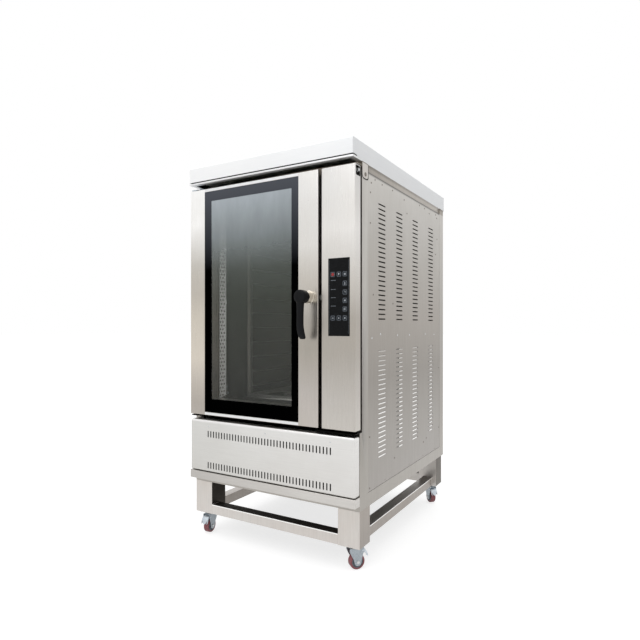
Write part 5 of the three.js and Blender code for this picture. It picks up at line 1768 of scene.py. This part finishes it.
@dataclass
class Studio:
    """A pale floor, soft light and the photograph's camera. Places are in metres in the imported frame."""

    camera_place: tuple[float, float, float] = (1.5713, -2.7309, 1.1566)
    camera_turn: float = 30.64
    lens: float = 29.237
    shift: float = 0.00833
    fill: float = 0.7
    floor_glow: float = 0.74

    def build(self) -> None:
        """Builds the floor, the lights, the world and the camera."""
        self.floor()
        self.world()
        self.lamp("lamp_above", (0.0, -1.0, 4.4), (0.0, 0.0, 1.0), 3.2, 50.0)
        self.lamp("lamp_front", (-0.6, -4.6, 4.4), (0.0, 0.0, 1.0), 2.6, 45.0)
        self.lamp("lamp_right", (4.2, 1.6, 3.4), (0.3, 0.0, 1.1), 2.4, 10.0)
        self.lamp("lamp_chamber", (0.14, -0.46, 1.29), (-0.36, -0.46, 1.25), 0.06, 2.6, 1.0)
        self.lamp("lamp_rear", (-0.4, 3.8, 3.0), (0.0, 0.4, 1.1), 2.6, 25.0)
        camera = bpy.data.objects.new("camera", bpy.data.cameras.new("camera"))
        camera.data.lens = self.lens
        camera.data.sensor_width = 36.0
        camera.data.shift_y = self.shift
        camera.location = self.camera_place
        camera.rotation_euler = (math.radians(90), 0.0, math.radians(self.camera_turn))
        bpy.context.scene.collection.objects.link(camera)
        bpy.context.scene.camera = camera
        bpy.context.scene.view_settings.view_transform = "Standard"

    @staticmethod
    def lamp(name: str, place: Sequence[float], aim: Sequence[float], size: float, power: float,
             tall: float = 0.0) -> None:
        """One soft lamp.

        Args:
            name: Its name.
            place: Where it stands.
            aim: Where it looks.
            size: Its width, which is also its height where tall isn't given.
            power: Its power in watts.
            tall: Its height.
        """
        light = bpy.data.lights.new(name, "AREA")
        light.shape = "RECTANGLE"
        light.size = size
        light.size_y = tall or size
        light.energy = power
        lamp = bpy.data.objects.new(name, light)
        lamp.location = place
        lamp.rotation_euler = (Vector(aim) - Vector(place)).to_track_quat("-Z", "Y").to_euler()
        bpy.context.scene.collection.objects.link(lamp)

    @staticmethod
    def seen(tree: NodeTree) -> NodeSocket:
        """Tells the rays that see the backdrop: those from the camera, a mirror surface or glass.

        Args:
            tree: The node tree of the backdrop's material or of the world.

        Returns:
            One for such a ray, and nought for the others.
        """
        path = add_node(tree, "ShaderNodeLightPath")
        first = add_node(tree, "ShaderNodeMath", {"operation": "MAXIMUM"}, {
            0: path.outputs["Is Camera Ray"], 1: path.outputs["Is Glossy Ray"]})
        return add_node(tree, "ShaderNodeMath", {"operation": "MAXIMUM"}, {
            0: first.outputs[0], 1: path.outputs["Is Transmission Ray"]}).outputs[0]

    def world(self) -> None:
        """White for what is seen, and a softer fill for what it lights."""
        world = bpy.data.worlds.new("studio")
        bpy.context.scene.world = world
        world.use_nodes = True
        tree = world.node_tree
        tree.nodes.clear()
        strength = add_node(tree, "ShaderNodeMapRange", inputs={
            "Value": self.seen(tree), "To Min": self.fill, "To Max": 1.0}).outputs[0]
        light = add_node(tree, "ShaderNodeBackground", inputs={
            "Color": linear("#FFFFFF"), "Strength": strength})
        add_node(tree, "ShaderNodeOutputWorld", inputs={"Surface": light.outputs[0]})

    def floor(self) -> None:
        """A wide pale floor that keeps the oven's soft shadow."""
        sheet = bmesh.new()
        bmesh.ops.create_grid(sheet, x_segments=4, y_segments=4, size=60.0)
        data = bpy.data.meshes.new("studio_floor")
        sheet.to_mesh(data)
        sheet.free()
        material = bpy.data.materials.new("studio_floor_paint")
        material.use_nodes = True
        tree = material.node_tree
        tree.nodes.clear()
        paint = add_node(tree, "ShaderNodeBsdfDiffuse", inputs={"Color": linear("#B0B0B0")})
        strength = add_node(tree, "ShaderNodeMath", {"operation": "MULTIPLY"}, {
            0: self.seen(tree), 1: self.floor_glow}).outputs[0]
        glow = add_node(tree, "ShaderNodeEmission", inputs={"Color": linear("#FFFFFF"), "Strength": strength})
        both = add_node(tree, "ShaderNodeAddShader", inputs={0: paint.outputs[0], 1: glow.outputs[0]})
        add_node(tree, "ShaderNodeOutputMaterial", inputs={"Surface": both.outputs[0]})
        data.materials.append(material)
        floor = bpy.data.objects.new("studio_floor", data)
        bpy.context.scene.collection.objects.link(floor)


def main() -> None:
    """Builds every sub-assembly in order and reports each."""
    logging.basicConfig(level=logging.INFO, format="%(name)s %(message)s")
    for assembly in (Casing(), Stand(), Door(), Handle(), ControlPanel(), Chamber(), Studio()):
        LOG.info("building %s", type(assembly).__name__)
        assembly.build()


if __name__ == "__main__":
    main()
